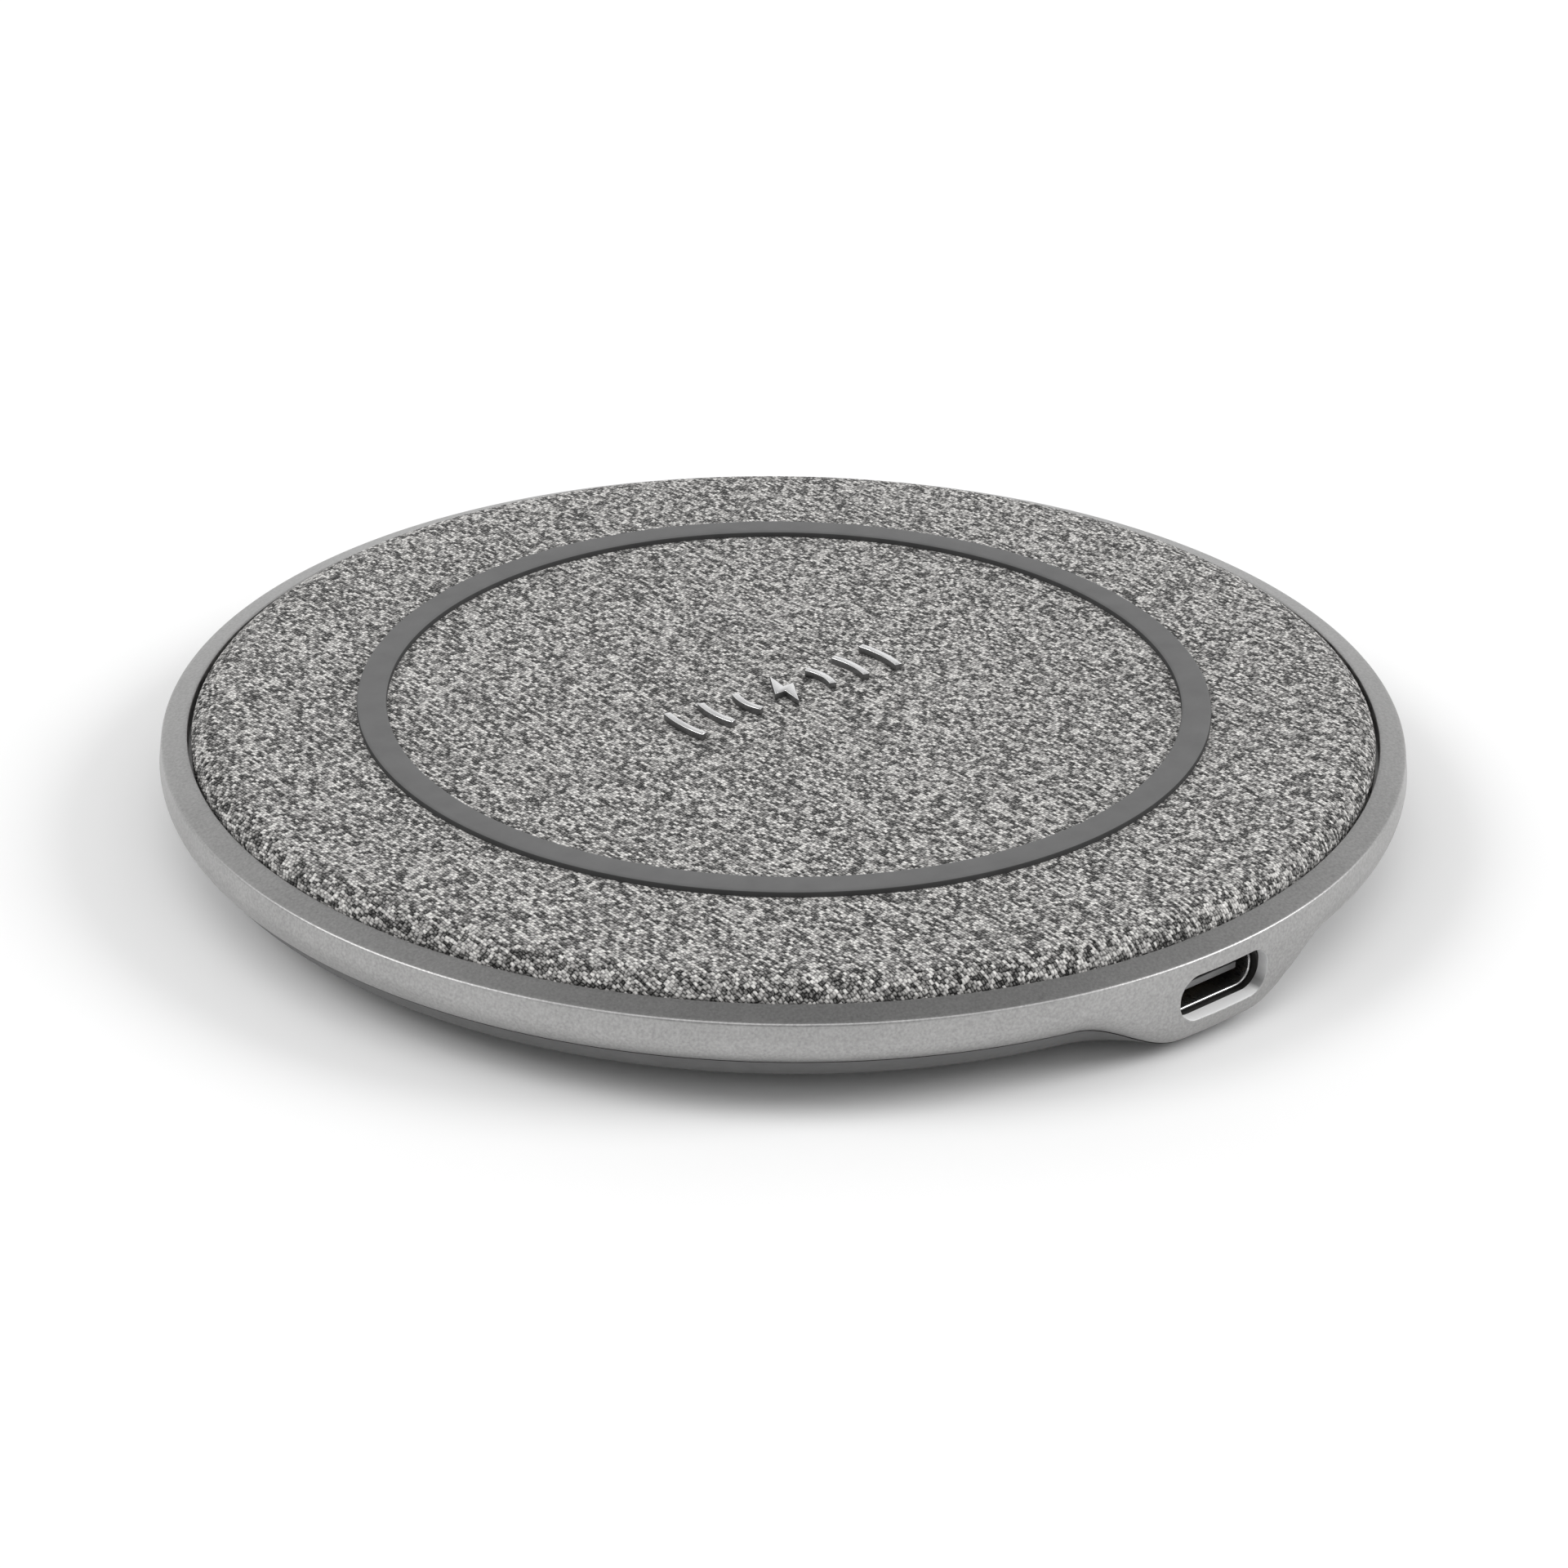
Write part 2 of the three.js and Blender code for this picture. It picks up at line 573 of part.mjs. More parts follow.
// Ring-shaped board round the ferrite, with a tab under the inlet and holes for the bosses
function mainBoard() {
  const inletAngle = -Math.PI / 2;
  const tabAngle = Math.asin(BOARD_TAB.halfWidth / BOARD_R.outer);
  const shape = new THREE.Shape();
  shape.absarc(0, 0, BOARD_R.outer, inletAngle + tabAngle, inletAngle - tabAngle + 2 * Math.PI);
  shape.lineTo(-BOARD_TAB.halfWidth, BOARD_TAB.endY);
  shape.lineTo(BOARD_TAB.halfWidth, BOARD_TAB.endY);
  const middle = new THREE.Path();
  middle.absarc(0, 0, BOARD_R.inner, 0, Math.PI * 2, true);
  shape.holes.push(middle);
  const board = new THREE.ExtrudeGeometry(shape, {
    depth: BOARD_THICKNESS,
    bevelEnabled: false,
    curveSegments: INNER_SEGMENTS / 2,
  }).translate(0, 0, BOARD_TOP_Z - BOARD_THICKNESS);
  const holes = screwPlaces().map((place) =>
    cylinderAt(place, BOARD_BOSS_HOLE_R, 0, BOARD_TOP_Z + CUT_MARGIN));
  return shaped(weld(board), { cut: holes });
}

function thermalPad() {
  return weld(blockBetween(
    [THERMAL_PAD.outerX, -THERMAL_PAD.halfDepth, BASE_FLOOR_Z],
    [THERMAL_PAD.innerX, THERMAL_PAD.halfDepth, BOARD_TOP_Z - BOARD_THICKNESS],
  ));
}

// Bent rod that leads the light from above the LED out through the frame's wall
function lightPipe() {
  const rod = rodAlongY(LIGHT_PIPE_R, LIGHT_LEG_Y, LIGHT_END_Y, LIGHT_Z);
  const leg = cylinderAt(
    [0, LIGHT_LEG_Y], LIGHT_LEG_R, LIGHT_LEG_LOW_Z, LIGHT_Z + LIGHT_PIPE_R,
  );
  return shaped(rod, { joined: [leg] });
}

// ---------------------------------------------------------------- assembly

const pad = new THREE.Group();

function add(name, geometry, look) {
  const mesh = new THREE.Mesh(geometry, look);
  mesh.name = name;
  pad.add(mesh);
  return mesh;
}

// A block soldered on the board at a radius and an angle round the pad
function addComponent(name, [width, depth, height], [radius, angleDeg], look) {
  const mesh = add(name, weld(new THREE.BoxGeometry(width, depth, height)), look);
  const [x, y] = polar(radius, angleDeg);
  mesh.position.set(x, y, BOARD_TOP_Z + SOLDER_GAP + height / 2);
  mesh.rotation.z = degrees(angleDeg);
}

add('outer_frame', outerFrame(), blastedAluminium());
add('fabric_cover', fabricCover(), melangeFabric());
add('silicone_ring', siliconeRing(), greySilicone());
add('emblem_bolt', emblemBolt(), emblemMetal());
EMBLEM_ARCS.forEach((arc, i) => {
  add(`emblem_arc_right_${i + 1}`, emblemArc(arc, 1), emblemMetal());
  add(`emblem_arc_left_${i + 1}`, emblemArc(arc, -1), emblemMetal());
});

add('base_plate', basePlate(), darkPlastic());
add('foot_ring', footRing(), greySilicone());
screwPlaces().forEach(([x, y], i) => {
  add(`base_screw_${i + 1}`, baseScrew(), stainlessSteel()).position.set(x, y, 0);
});

add('inlet_insert', inletInsert(), blackPlastic());
add('usb_c_shell', usbShell(), stainlessSteel());
add('usb_c_tongue', usbTongue(), connectorPlastic());

add('top_plate', topPlate(), carrierPlastic());
const film = disc(FLAT_TOP_R, TOP_PLATE_TOP_Z, FABRIC_LOW_Z, INNER_SEGMENTS);
add('adhesive_film', film, adhesiveTape());
add('transmit_coil', transmitCoil(), copperWire());
add('ferrite_sheet', ferriteSheet(), ferriteCeramic());
add('coil_thermistor', thermistorBead(), chipResin());
const foam = disc(FOAM.radius, BASE_FLOOR_Z, FOAM.topZ, INNER_SEGMENTS);
add('foam_spacer', foam, greyFoam());

add('main_board', mainBoard(), boardLaminate());
add('thermal_pad', thermalPad(), thermalSilicone());
addComponent('sink_controller_chip', [4, 4, 0.8], [34.5, 270], chipResin());
addComponent('transmitter_chip', [7, 7, 0.9], [35, 292], chipResin());
addComponent('clock_crystal', [2.5, 3.2, 0.8], [31, 306], stainlessSteel());
addComponent('filter_inductor', [5, 5, 2.6], [34.5, 250], ferriteCeramic());
addComponent('input_capacitor_1', [1.6, 3.2, 1.6], [40, 281], capacitorCeramic());
addComponent('input_capacitor_2', [1.6, 3.2, 1.6], [40, 259], capacitorCeramic());
BRIDGE_ANGLES.forEach((angleDeg, i) => {
  const mosfetPlace = [MOSFET_R, angleDeg];
  const capacitorPlace = [RESONANT_CAPACITOR_R, angleDeg];
  addComponent(`bridge_mosfet_${i + 1}`, [3.3, 3.3, 0.9], mosfetPlace, chipResin());
  addComponent(`resonant_capacitor_${i + 1}`, [3.2, 4.5, 2], capacitorPlace, capacitorCeramic());
});
addComponent('status_led', [0.8, 1.6, 0.6], [LIGHT_LEG_Y, 90], clearAcrylic());
add('light_pipe', lightPipe(), clearAcrylic());

export default pad;
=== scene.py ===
"""Looks of the round wireless charging pad: fine meshes, procedural materials, light and camera.

Metres throughout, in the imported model's frame: +Z up, the underside at z = 0, and the USB-C
inlet facing -Y. Angles round the pad are counted from +X, so the inlet is at -90 degrees.
"""

import json
import math

import bmesh
import bpy
import numpy as np
from mathutils import Matrix, Vector, noise

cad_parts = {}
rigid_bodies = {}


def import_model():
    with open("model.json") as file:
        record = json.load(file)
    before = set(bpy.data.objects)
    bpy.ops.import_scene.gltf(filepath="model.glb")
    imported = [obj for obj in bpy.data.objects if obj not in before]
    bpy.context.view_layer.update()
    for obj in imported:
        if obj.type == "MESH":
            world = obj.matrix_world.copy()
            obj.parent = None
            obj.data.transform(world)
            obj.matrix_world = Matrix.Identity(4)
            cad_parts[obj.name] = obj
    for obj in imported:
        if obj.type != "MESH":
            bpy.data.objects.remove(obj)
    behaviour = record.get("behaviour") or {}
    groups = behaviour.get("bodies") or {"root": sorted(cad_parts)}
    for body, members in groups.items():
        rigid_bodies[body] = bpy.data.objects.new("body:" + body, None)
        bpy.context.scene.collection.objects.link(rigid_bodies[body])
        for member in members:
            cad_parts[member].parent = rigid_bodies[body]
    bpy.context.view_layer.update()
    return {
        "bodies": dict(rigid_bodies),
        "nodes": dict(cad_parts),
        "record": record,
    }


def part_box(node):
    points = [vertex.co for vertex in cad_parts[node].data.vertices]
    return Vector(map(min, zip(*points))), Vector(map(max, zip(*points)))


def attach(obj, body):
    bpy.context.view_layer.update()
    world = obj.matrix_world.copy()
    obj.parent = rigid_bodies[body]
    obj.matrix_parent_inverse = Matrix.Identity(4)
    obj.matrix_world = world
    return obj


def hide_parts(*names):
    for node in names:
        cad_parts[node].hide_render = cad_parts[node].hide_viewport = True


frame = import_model()

MM = 0.001
BODY = next(iter(frame["bodies"]))
SLOTS = {part["node"]: part["material_slot"] for part in frame["record"]["subparts"]}
INLET_ANGLE = -math.pi / 2
LIGHT_ANGLE = math.pi / 2

# ---- places from the frame

frame_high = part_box("outer_frame")[1]
fabric_low, fabric_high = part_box("fabric_cover")
ring_low, ring_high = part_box("silicone_ring")
base_low, base_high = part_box("base_plate")
foot_low, foot_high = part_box("foot_ring")
insert_low, insert_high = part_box("inlet_insert")
shell_low, shell_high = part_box("usb_c_shell")
tongue_low, tongue_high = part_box("usb_c_tongue")
pipe_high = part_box("light_pipe")[1]

SIDE_R = frame_high.x
BEZEL_INNER_Z = frame_high.z
INLET_Z = (shell_low.z + shell_high.z) / 2
LIGHT_PIPE_R = 0.55 * MM
LIGHT_Z = pipe_high.z - LIGHT_PIPE_R

# ---- sizes the frame doesn't give

# Frame section
EDGE_R = 50 * MM
EDGE_Z = 7.9 * MM
EDGE_FILLET = 0.24 * MM
BEZEL_INNER_R = 47.9 * MM
BEZEL_INNER_FILLET = 0.1 * MM
GROOVE_STEP = 0.5 * MM  # a point of the section this far below the bezel's inner edge
SIDE_CURVE_TOP_Z = 6.4 * MM
SIDE_CURVE_WIDTH = 2 * MM
SIDE_CURVE_HEIGHT = 2.31 * MM
SIDE_CURVE_SWEEP = math.radians(60)
CREASE_FILLET = 0.14 * MM
FRAME_WALL_R = 47.8 * MM
LEDGE_R = 44 * MM
LEDGE_LOW_Z = 6.1 * MM

# Boss round the inlet
BOSS_DROP = 3.4 * MM
BOSS_FLAT = math.radians(4)
BOSS_END = math.radians(15)

# Inlet slot and the light's hole
SLOT_SIZE = (9 * MM, 3.7 * MM, 1.7 * MM)  # width, height and corner radius
SLOT_Z = 4.8 * MM
SLOT_FILLET = 0.06 * MM
SLOT_HALF_WINDOW = math.radians(9.2)
SLOT_BLIND = 0.2 * MM  # short of the pocket, which opens the slot when it is cut
INLET_WALL_Y = -49.05 * MM
POCKET_GAP = 0.1 * MM
POCKET_PAST = 1 * MM
LIGHT_HOLE_R = 0.65 * MM
LIGHT_HOLE_FILLET = 0.05 * MM
LIGHT_HALF_WINDOW = math.radians(2.7)
LIGHT_BLIND = 0.4 * MM
LIGHT_RELIEF_SHARE = 1.3
LIGHT_RELIEF_IN = 1 * MM
LIGHT_RELIEF_OUT = 0.8 * MM

# Base plate and foot
BASE_FLOOR_Z = 1.7 * MM
DISH_START_R = 41.5 * MM
DISH_OUTSIDE = (8.1 * MM, 5.62 * MM)
DISH_INSIDE = (5.85 * MM, 3.95 * MM)
DISH_SWEEP = math.radians(70)
BOSS_LIP_Z = 0.9 * MM
FOOT_INNER_R = 35.5 * MM
FOOT_FILLET = 0.25 * MM
FOOT_SIDE_GAP = 0.1 * MM
COUNTERBORE_R = 1.9 * MM
COUNTERBORE_TOP_Z = 1.55 * MM
SCREW_HOLE_R = 1.15 * MM
SCREW_HOLE_PAST = 1 * MM

# Fabric: flat top, a roll over the plate's edge, then down into the groove
FLAT_TOP_R = 45.1 * MM
FABRIC_OUTER_ROLL = (2.5 * MM, 1.6 * MM)
FABRIC_INNER_ROLL = (1.8 * MM, 0.9 * MM)
FABRIC_UNDERSIDE_Z = 8.75 * MM

# Weave, as the fabric's mesh and its material both have it
YARN_PITCH = 0.25 * MM
FLOAT_PITCH = 0.42 * MM
YARN_STEP = 0.381966  # times the yarn's number squared: where its floats start
SIDE_POWER = 2
END_POWER = 3

# Unseeded, Blender's noise offsets come from the time of day
NOISE_SEED = 7
noise.seed_set(NOISE_SEED)

# ---- camera

# The camera looks at the centre of the frame's sharp edge, from in front and to the left of
# the inlet, and sits a little low so that the pad lies above the middle of the picture.
CAMERA_AZIMUTH = math.radians(-40.5)
CAMERA_ELEVATION = math.radians(26.887)
CAMERA_ROLL = math.radians(0.768)
CAMERA_DISTANCE = 330.9 * MM
CAMERA_LOWERED = 5.71 * MM
CAMERA_LENS = 93.75
CAMERA_CLIP = 10 * MM


def new_object(name, data, looks=()):
    for look in looks:
        data.materials.append(LOOKS[look])
    made = bpy.data.objects.new(name, data)
    bpy.context.scene.collection.objects.link(made)
    return made


def make_camera():
    turn, rise = CAMERA_AZIMUTH, CAMERA_ELEVATION
    forward = Vector((
        -math.sin(turn) * math.cos(rise), math.cos(turn) * math.cos(rise), -math.sin(rise)
    ))
    level_right = Vector((math.cos(turn), math.sin(turn), 0))
    level_up = level_right.cross(forward)
    right = level_right * math.cos(CAMERA_ROLL) + level_up * math.sin(CAMERA_ROLL)
    up = level_up * math.cos(CAMERA_ROLL) - level_right * math.sin(CAMERA_ROLL)
    place = Vector((0, 0, EDGE_Z)) - forward * CAMERA_DISTANCE - up * CAMERA_LOWERED
    camera = new_object("camera", bpy.data.cameras.new("camera"))
    camera.data.lens = CAMERA_LENS
    camera.data.clip_start = CAMERA_CLIP
    axes = Matrix((right, up, -forward)).transposed().to_4x4()
    camera.matrix_world = Matrix.Translation(place) @ axes
    bpy.context.scene.camera = camera


make_camera()

# ---- mesh helpers

FILLET_STEPS = 4
SHARP_ANGLE = 35  # edges that turn more than this many degrees are shaded sharp


def polar(radius, angle, *height):
    return (radius * math.cos(angle), radius * math.sin(angle), *height)


def smoothstep(value, low, high):
    t = min(max((value - low) / (high - low), 0), 1)
    return t * t * (3 - 2 * t)


def ellipse_arc(centre, size, start, end, steps):
    """[radius, height] points on an ellipse, its angle counted from straight up."""
    angles = np.linspace(start, end, steps + 1)
    return [
        (centre[0] + size[0] * math.sin(a), centre[1] + size[1] * math.cos(a)) for a in angles
    ]


def resampled(path, count):
    """count points spread evenly along a path."""
    path = np.array(path)
    lengths = np.concatenate(([0], np.cumsum(np.linalg.norm(np.diff(path, axis=0), axis=1))))
    places = np.linspace(0, lengths[-1], count)
    return list(zip(*[np.interp(places, lengths, path[:, axis]) for axis in (0, 1)]))


def with_fillets(corners, steps=FILLET_STEPS):
    """The closed outline through (x, y, radius) corners, each radius above 0 rounded off."""
    count = len(corners)
    points = []
    for i, (x, y, radius) in enumerate(corners):
        if radius == 0:
            points.append((x, y))
            continue
        here = Vector((x, y))
        before = (Vector(corners[i - 1][:2]) - here).normalized()
        after = (Vector(corners[(i + 1) % count][:2]) - here).normalized()
        half = before.angle(after) / 2
        centre = here + (before + after).normalized() * radius / math.sin(half)
        first = here + before * radius / math.tan(half) - centre
        turn = (math.pi - 2 * half) * (-1 if before.x * after.y - before.y * after.x > 0 else 1)
        for step in range(steps + 1):
            angle = turn * step / steps
            points.append((
                centre.x + first.x * math.cos(angle) - first.y * math.sin(angle),
                centre.y + first.x * math.sin(angle) + first.y * math.cos(angle),
            ))
    return points


def rounded_outline(width, height, radius, counts, grow=0):
    """Points and outward directions round a rounded rectangle, counter-clockwise from the
    middle of its lower left corner. counts are the steps along its bottom, right, top and left."""
    x = width / 2 - radius
    y = height / 2 - radius
    sides = [
        ((-x, -y), (x, -y), -math.pi / 2), ((x, -y), (x, y), 0),
        ((x, y), (-x, y), math.pi / 2), ((-x, y), (-x, -y), math.pi),
    ]
    points = []
    for (start, end, facing), count in zip(sides, counts):
        arc = math.pi / 4 * radius
        straight = math.dist(start, end)
        for step in range(count):
            along = (2 * arc + straight) * step / count
            past = min(max((along - arc) / straight, 0), 1) if straight > 0 else float(along > arc)
            turned = (along - arc - past * straight) / radius
            angle = facing + turned
            middle = (np.array(start) * (1 - past)) + (np.array(end) * past)
            outward = np.array((math.cos(angle), math.sin(angle)))
            points.append((*(middle + outward * (radius + grow)), *outward))
    return np.array(points)


def shade(mesh, sharp=SHARP_ANGLE):
    """Smooth shading, with edges that turn more than that many degrees kept sharp."""
    mesh.shade_smooth()
    mesh.set_sharp_from_angle(angle=math.radians(sharp))


def mesh_object(name, vertices, faces, looks, face_looks=None, sharp=SHARP_ANGLE):
    mesh = bpy.data.meshes.new(name)
    mesh.from_pydata([tuple(v) for v in vertices], [], faces)
    piece = new_object(name, mesh, looks)
    if face_looks is not None:
        mesh.polygons.foreach_set("material_index", face_looks)
    mesh.validate()
    shade(mesh, sharp)
    return piece


def object_from(bm, name, looks=()):
    """An object from a bmesh, which it uses up."""
    mesh = bpy.data.meshes.new(name)
    bm.to_mesh(mesh)
    bm.free()
    return new_object(name, mesh, looks)


def finish_piece(piece, node):
    """Stands the piece for its CAD node: puts it on the body and hides the node."""
    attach(piece, BODY)
    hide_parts(node)


def split_by_slope(piece, least):
    """Material 0 on faces whose normal's upward share is over least, material 1 on the rest."""
    for polygon in piece.data.polygons:
        polygon.material_index = 0 if polygon.normal.z > least else 1


def skin(rings, closed=False):
    """Faces between rings of vertex numbers, each as long as the last, or half or twice it.
    A ring of one vertex is a pole. With closed the last ring joins the first."""
    faces = []
    for upper, lower in zip(rings, rings[1:] + rings[:1] if closed else rings[1:]):
        n, m = len(upper), len(lower)
        if n == 1:
            faces += [(upper[0], lower[k], lower[(k + 1) % m]) for k in range(m)]
        elif m == 1:
            faces += [(upper[k], lower[0], upper[(k + 1) % n]) for k in range(n)]
        elif n == m:
            faces += [
                (upper[k], lower[k], lower[(k + 1) % n], upper[(k + 1) % n]) for k in range(n)
            ]
        elif m == 2 * n:
            for k in range(n):
                a, b = upper[k], upper[(k + 1) % n]
                c, d, e = lower[2 * k], lower[2 * k + 1], lower[(2 * k + 2) % m]
                faces += [(a, c, d), (a, d, b), (b, d, e)]
        else:
            for k in range(m):
                a, b = lower[k], lower[(k + 1) % m]
                c, d, e = upper[2 * k], upper[2 * k + 1], upper[(2 * k + 2) % n]
                faces += [(c, a, d), (d, a, b), (d, b, e)]
    return faces


def round_ring(radius, height, count):
    """Points of a level circle; a radius of 0 gives the pole's one point."""
    if radius == 0:
        return [(0, 0, height)]
    return [polar(radius, a, height) for a in np.arange(count) * 2 * math.pi / count]


def skinned(name, rings, looks, closed=False, sharp=SHARP_ANGLE):
    """An object with a skin over rings of points."""
    points = []
    numbers = []
    for ring in rings:
        numbers.append(range(len(points), len(points) + len(ring)))
        points += ring
    return mesh_object(name, points, skin(numbers, closed), looks, sharp=sharp)


def turned(name, section, count, looks):
    """A closed [radius, height] section turned about Z into a ring."""
    return skinned(name, [round_ring(r, z, count) for r, z in section], looks, closed=True)


def add_box(bm, low, high):
    """A box added to a bmesh, given back as its vertices."""
    made = bmesh.ops.create_cube(bm, size=1)
    middle = (Vector(low) + Vector(high)) / 2
    size = Vector(high) - Vector(low)
    for vertex in made["verts"]:
        vertex.co = Vector(c * s for c, s in zip(vertex.co, size)) + middle
    return made["verts"]


def box_cutter(low, high):
    bm = bmesh.new()
    add_box(bm, low, high)
    return object_from(bm, "cutter")


def rod_cutter(radius, start, end, count=48):
    bm = bmesh.new()
    axis = Vector(end) - Vector(start)
    bmesh.ops.create_cone(
        bm, cap_ends=True, segments=count, radius1=radius, radius2=radius, depth=axis.length
    )
    place = Matrix.Translation((Vector(start) + Vector(end)) / 2)
    bm.transform(place @ axis.to_track_quat("Z", "Y").to_matrix().to_4x4())
    return object_from(bm, "cutter")


def cut(piece, cutters):
    """Cuts the cutters out of the piece and removes them."""
    for cutter in cutters:
        modifier = piece.modifiers.new("cut", "BOOLEAN")
        modifier.operation = "DIFFERENCE"
        modifier.solver = "EXACT"
        modifier.object = cutter
    apply_modifiers(piece)
    for cutter in cutters:
        bpy.data.objects.remove(cutter)
    shade(piece.data)


def apply_modifiers(piece):
    graph = bpy.context.evaluated_depsgraph_get()
    result = bpy.data.meshes.new_from_object(piece.evaluated_get(graph), depsgraph=graph)
    piece.modifiers.clear()
    piece.data = result


# ---- material helpers

# Noise mostly keeps to this range
NOISE_LOW = 0.3
NOISE_HIGH = 0.7


class Nodes:
    """Short calls to add nodes to a node tree and join them."""

    def __init__(self, tree):
        self.nodes = tree.nodes
        self.links = tree.links

    def node(self, kind, inputs=(), **settings):
        made = self.nodes.new("ShaderNode" + kind)
        for key, value in settings.items():
            setattr(made, key, value)
        for key, value in dict(inputs).items():
            self.feed(made.inputs[key], value)
        return made

    def feed(self, socket, value):
        if isinstance(value, bpy.types.NodeSocket):
            self.links.new(value, socket)
        else:
            socket.default_value = value

    def math(self, operation, *values):
        return self.node("Math", enumerate(values), operation=operation).outputs[0]

    def vector(self, operation, *values):
        return self.node("VectorMath", enumerate(values), operation=operation).outputs[0]


LOOKS = {}  # every look made, by name


class Look(Nodes):
    """A material on the Principled shader, whose plain values are given by socket name."""

    def __init__(self, name, **values):
        self.material = bpy.data.materials.new(name)
        LOOKS[name] = self.material
        self.material.use_nodes = True
        super().__init__(self.material.node_tree)
        self.shader = self.nodes["Principled BSDF"]
        for socket, value in values.items():
            self.shader.inputs[socket.replace("_", " ")].default_value = value

    def place(self):
        return self.node("TexCoord").outputs["Object"]

    def grain(self, size, detail=2, stretch=(1, 1, 1), place=None):
        """Noise from 0 to 1 whose features are about size across."""
        place = place or self.place()
        scaled = self.vector("MULTIPLY", place, stretch)
        made = self.node("TexNoise", {"Vector": scaled, "Scale": 1 / size, "Detail": detail})
        return made.outputs["Fac"]

    def ramp(self, value, *stops):
        """Colours blended between (position, colour) stops."""
        made = self.node("ValToRGB", {"Fac": value})
        elements = made.color_ramp.elements
        while len(elements) < len(stops):
            elements.new(0.5)
        for element, (position, colour) in zip(elements, stops):
            element.position = position
            element.color = colour if len(colour) == 4 else (*colour, 1)
        return made.outputs["Color"]

    def scale(self, value, low, high):
        """A 0 to 1 value moved to low to high."""
        made = self.node("MapRange", {"Value": value, "To Min": low, "To Max": high})
        return made.outputs["Result"]

    def drift(self, field, low, high):
        """A colour going from low to high over the range that noise mostly keeps to."""
        return self.ramp(field, (NOISE_LOW, low), (NOISE_HIGH, high))

    def colour(self, value):
        self.feed(self.shader.inputs["Base Color"], value)

    def roughness(self, field, low, high):
        """Roughness from low to high as the field goes from 0 to 1."""
        self.feed(self.shader.inputs["Roughness"], self.scale(field, low, high))

    def bump(self, height, depth):
        """Relief whose 0 to 1 height stands for depth."""
        made = self.node("Bump", {"Distance": depth, "Height": height})
        self.links.new(made.outputs["Normal"], self.shader.inputs["Normal"])


def grey(level, warmth=0):
    return (level * (1 + warmth), level, level * (1 - warmth), 1)


# ---- materials

BLAST_TONES = ((0.25, grey(0.305, 0.008)), (0.75, grey(0.475, 0.008)))
FINE_SHARE = 0.8
CLOUD_SHARE = 0.2


def blasted_aluminium():
    """Bead-blasted grey anodising: a fine even grain with faint cloudiness."""
    look = Look("blasted_aluminium", Metallic=1.0)
    fine = look.math("MULTIPLY", look.grain(size=0.22 * MM, detail=3), FINE_SHARE)
    cloud = look.math("MULTIPLY", look.grain(size=6 * MM, detail=3), CLOUD_SHARE)
    look.colour(look.ramp(look.math("ADD", fine, cloud), *BLAST_TONES))
    look.roughness(look.grain(size=0.14 * MM), low=0.34, high=0.46)
    look.bump(look.grain(size=0.12 * MM), depth=0.01 * MM)


# Painted light on the slot's wall: its grey set by how far each face turns upward, up to white on
# the upward-facing floor
PAINTED_LIGHT_BY_FACING = (
    (0.0, grey(0.8)), (0.3, grey(0.68)), (0.62, grey(0.34)), (0.8, grey(0.4)), (0.92, grey(1)),
)


def port_wall_painted_light():
    """The slot's milled wall, with cutter lines along the milling; its bright floor and duller ends
    are painted light, set by how far each face turns up.
    """
    look = Look("port_wall_painted_light", Metallic=0.1)
    lines = look.grain(size=0.05 * MM, stretch=(1, 0.15, 1))
    upward = look.node("SeparateXYZ", {"Vector": look.node("TexCoord").outputs["Normal"]})
    tone = look.ramp(upward.outputs["Z"], *PAINTED_LIGHT_BY_FACING)
    look.colour(look.vector("MULTIPLY", tone, look.drift(lines, low=grey(0.95), high=grey(1))))
    look.roughness(lines, low=0.36, high=0.5)
    look.bump(lines, depth=0.004 * MM)


# Fabric: what share of the shade each part makes, and the levels for shades of 0 and 1, before
# the darkest are held up and the spread is curved. The crown's part is painted light: lighter
# along each float's crest, darker at its sides and ends where the floats meet
TONE_SHARE = 0.31
FIBRE_SHARE = 0.41
PATCH_SHARE = 0.12
CROWN_PAINTED_LIGHT_SHARE = 0.16
DARK_FIBRE = -0.84
PALE_FIBRE = 1.45
DARKEST = 0.03
SPREAD_POWER = 1.4
FABRIC_TINT = (1.02, 1.0, 0.972)
FLOAT_RELIEF = 0.06 * MM
FIBRE_RELIEF = 0.5  # a fibre's relief as a share of its float's
FIBRE_STRETCH = (1, 0.3, 1)
WANDER = (0.3 * MM,) * 3
WANDER_SIZE = 0.9 * MM


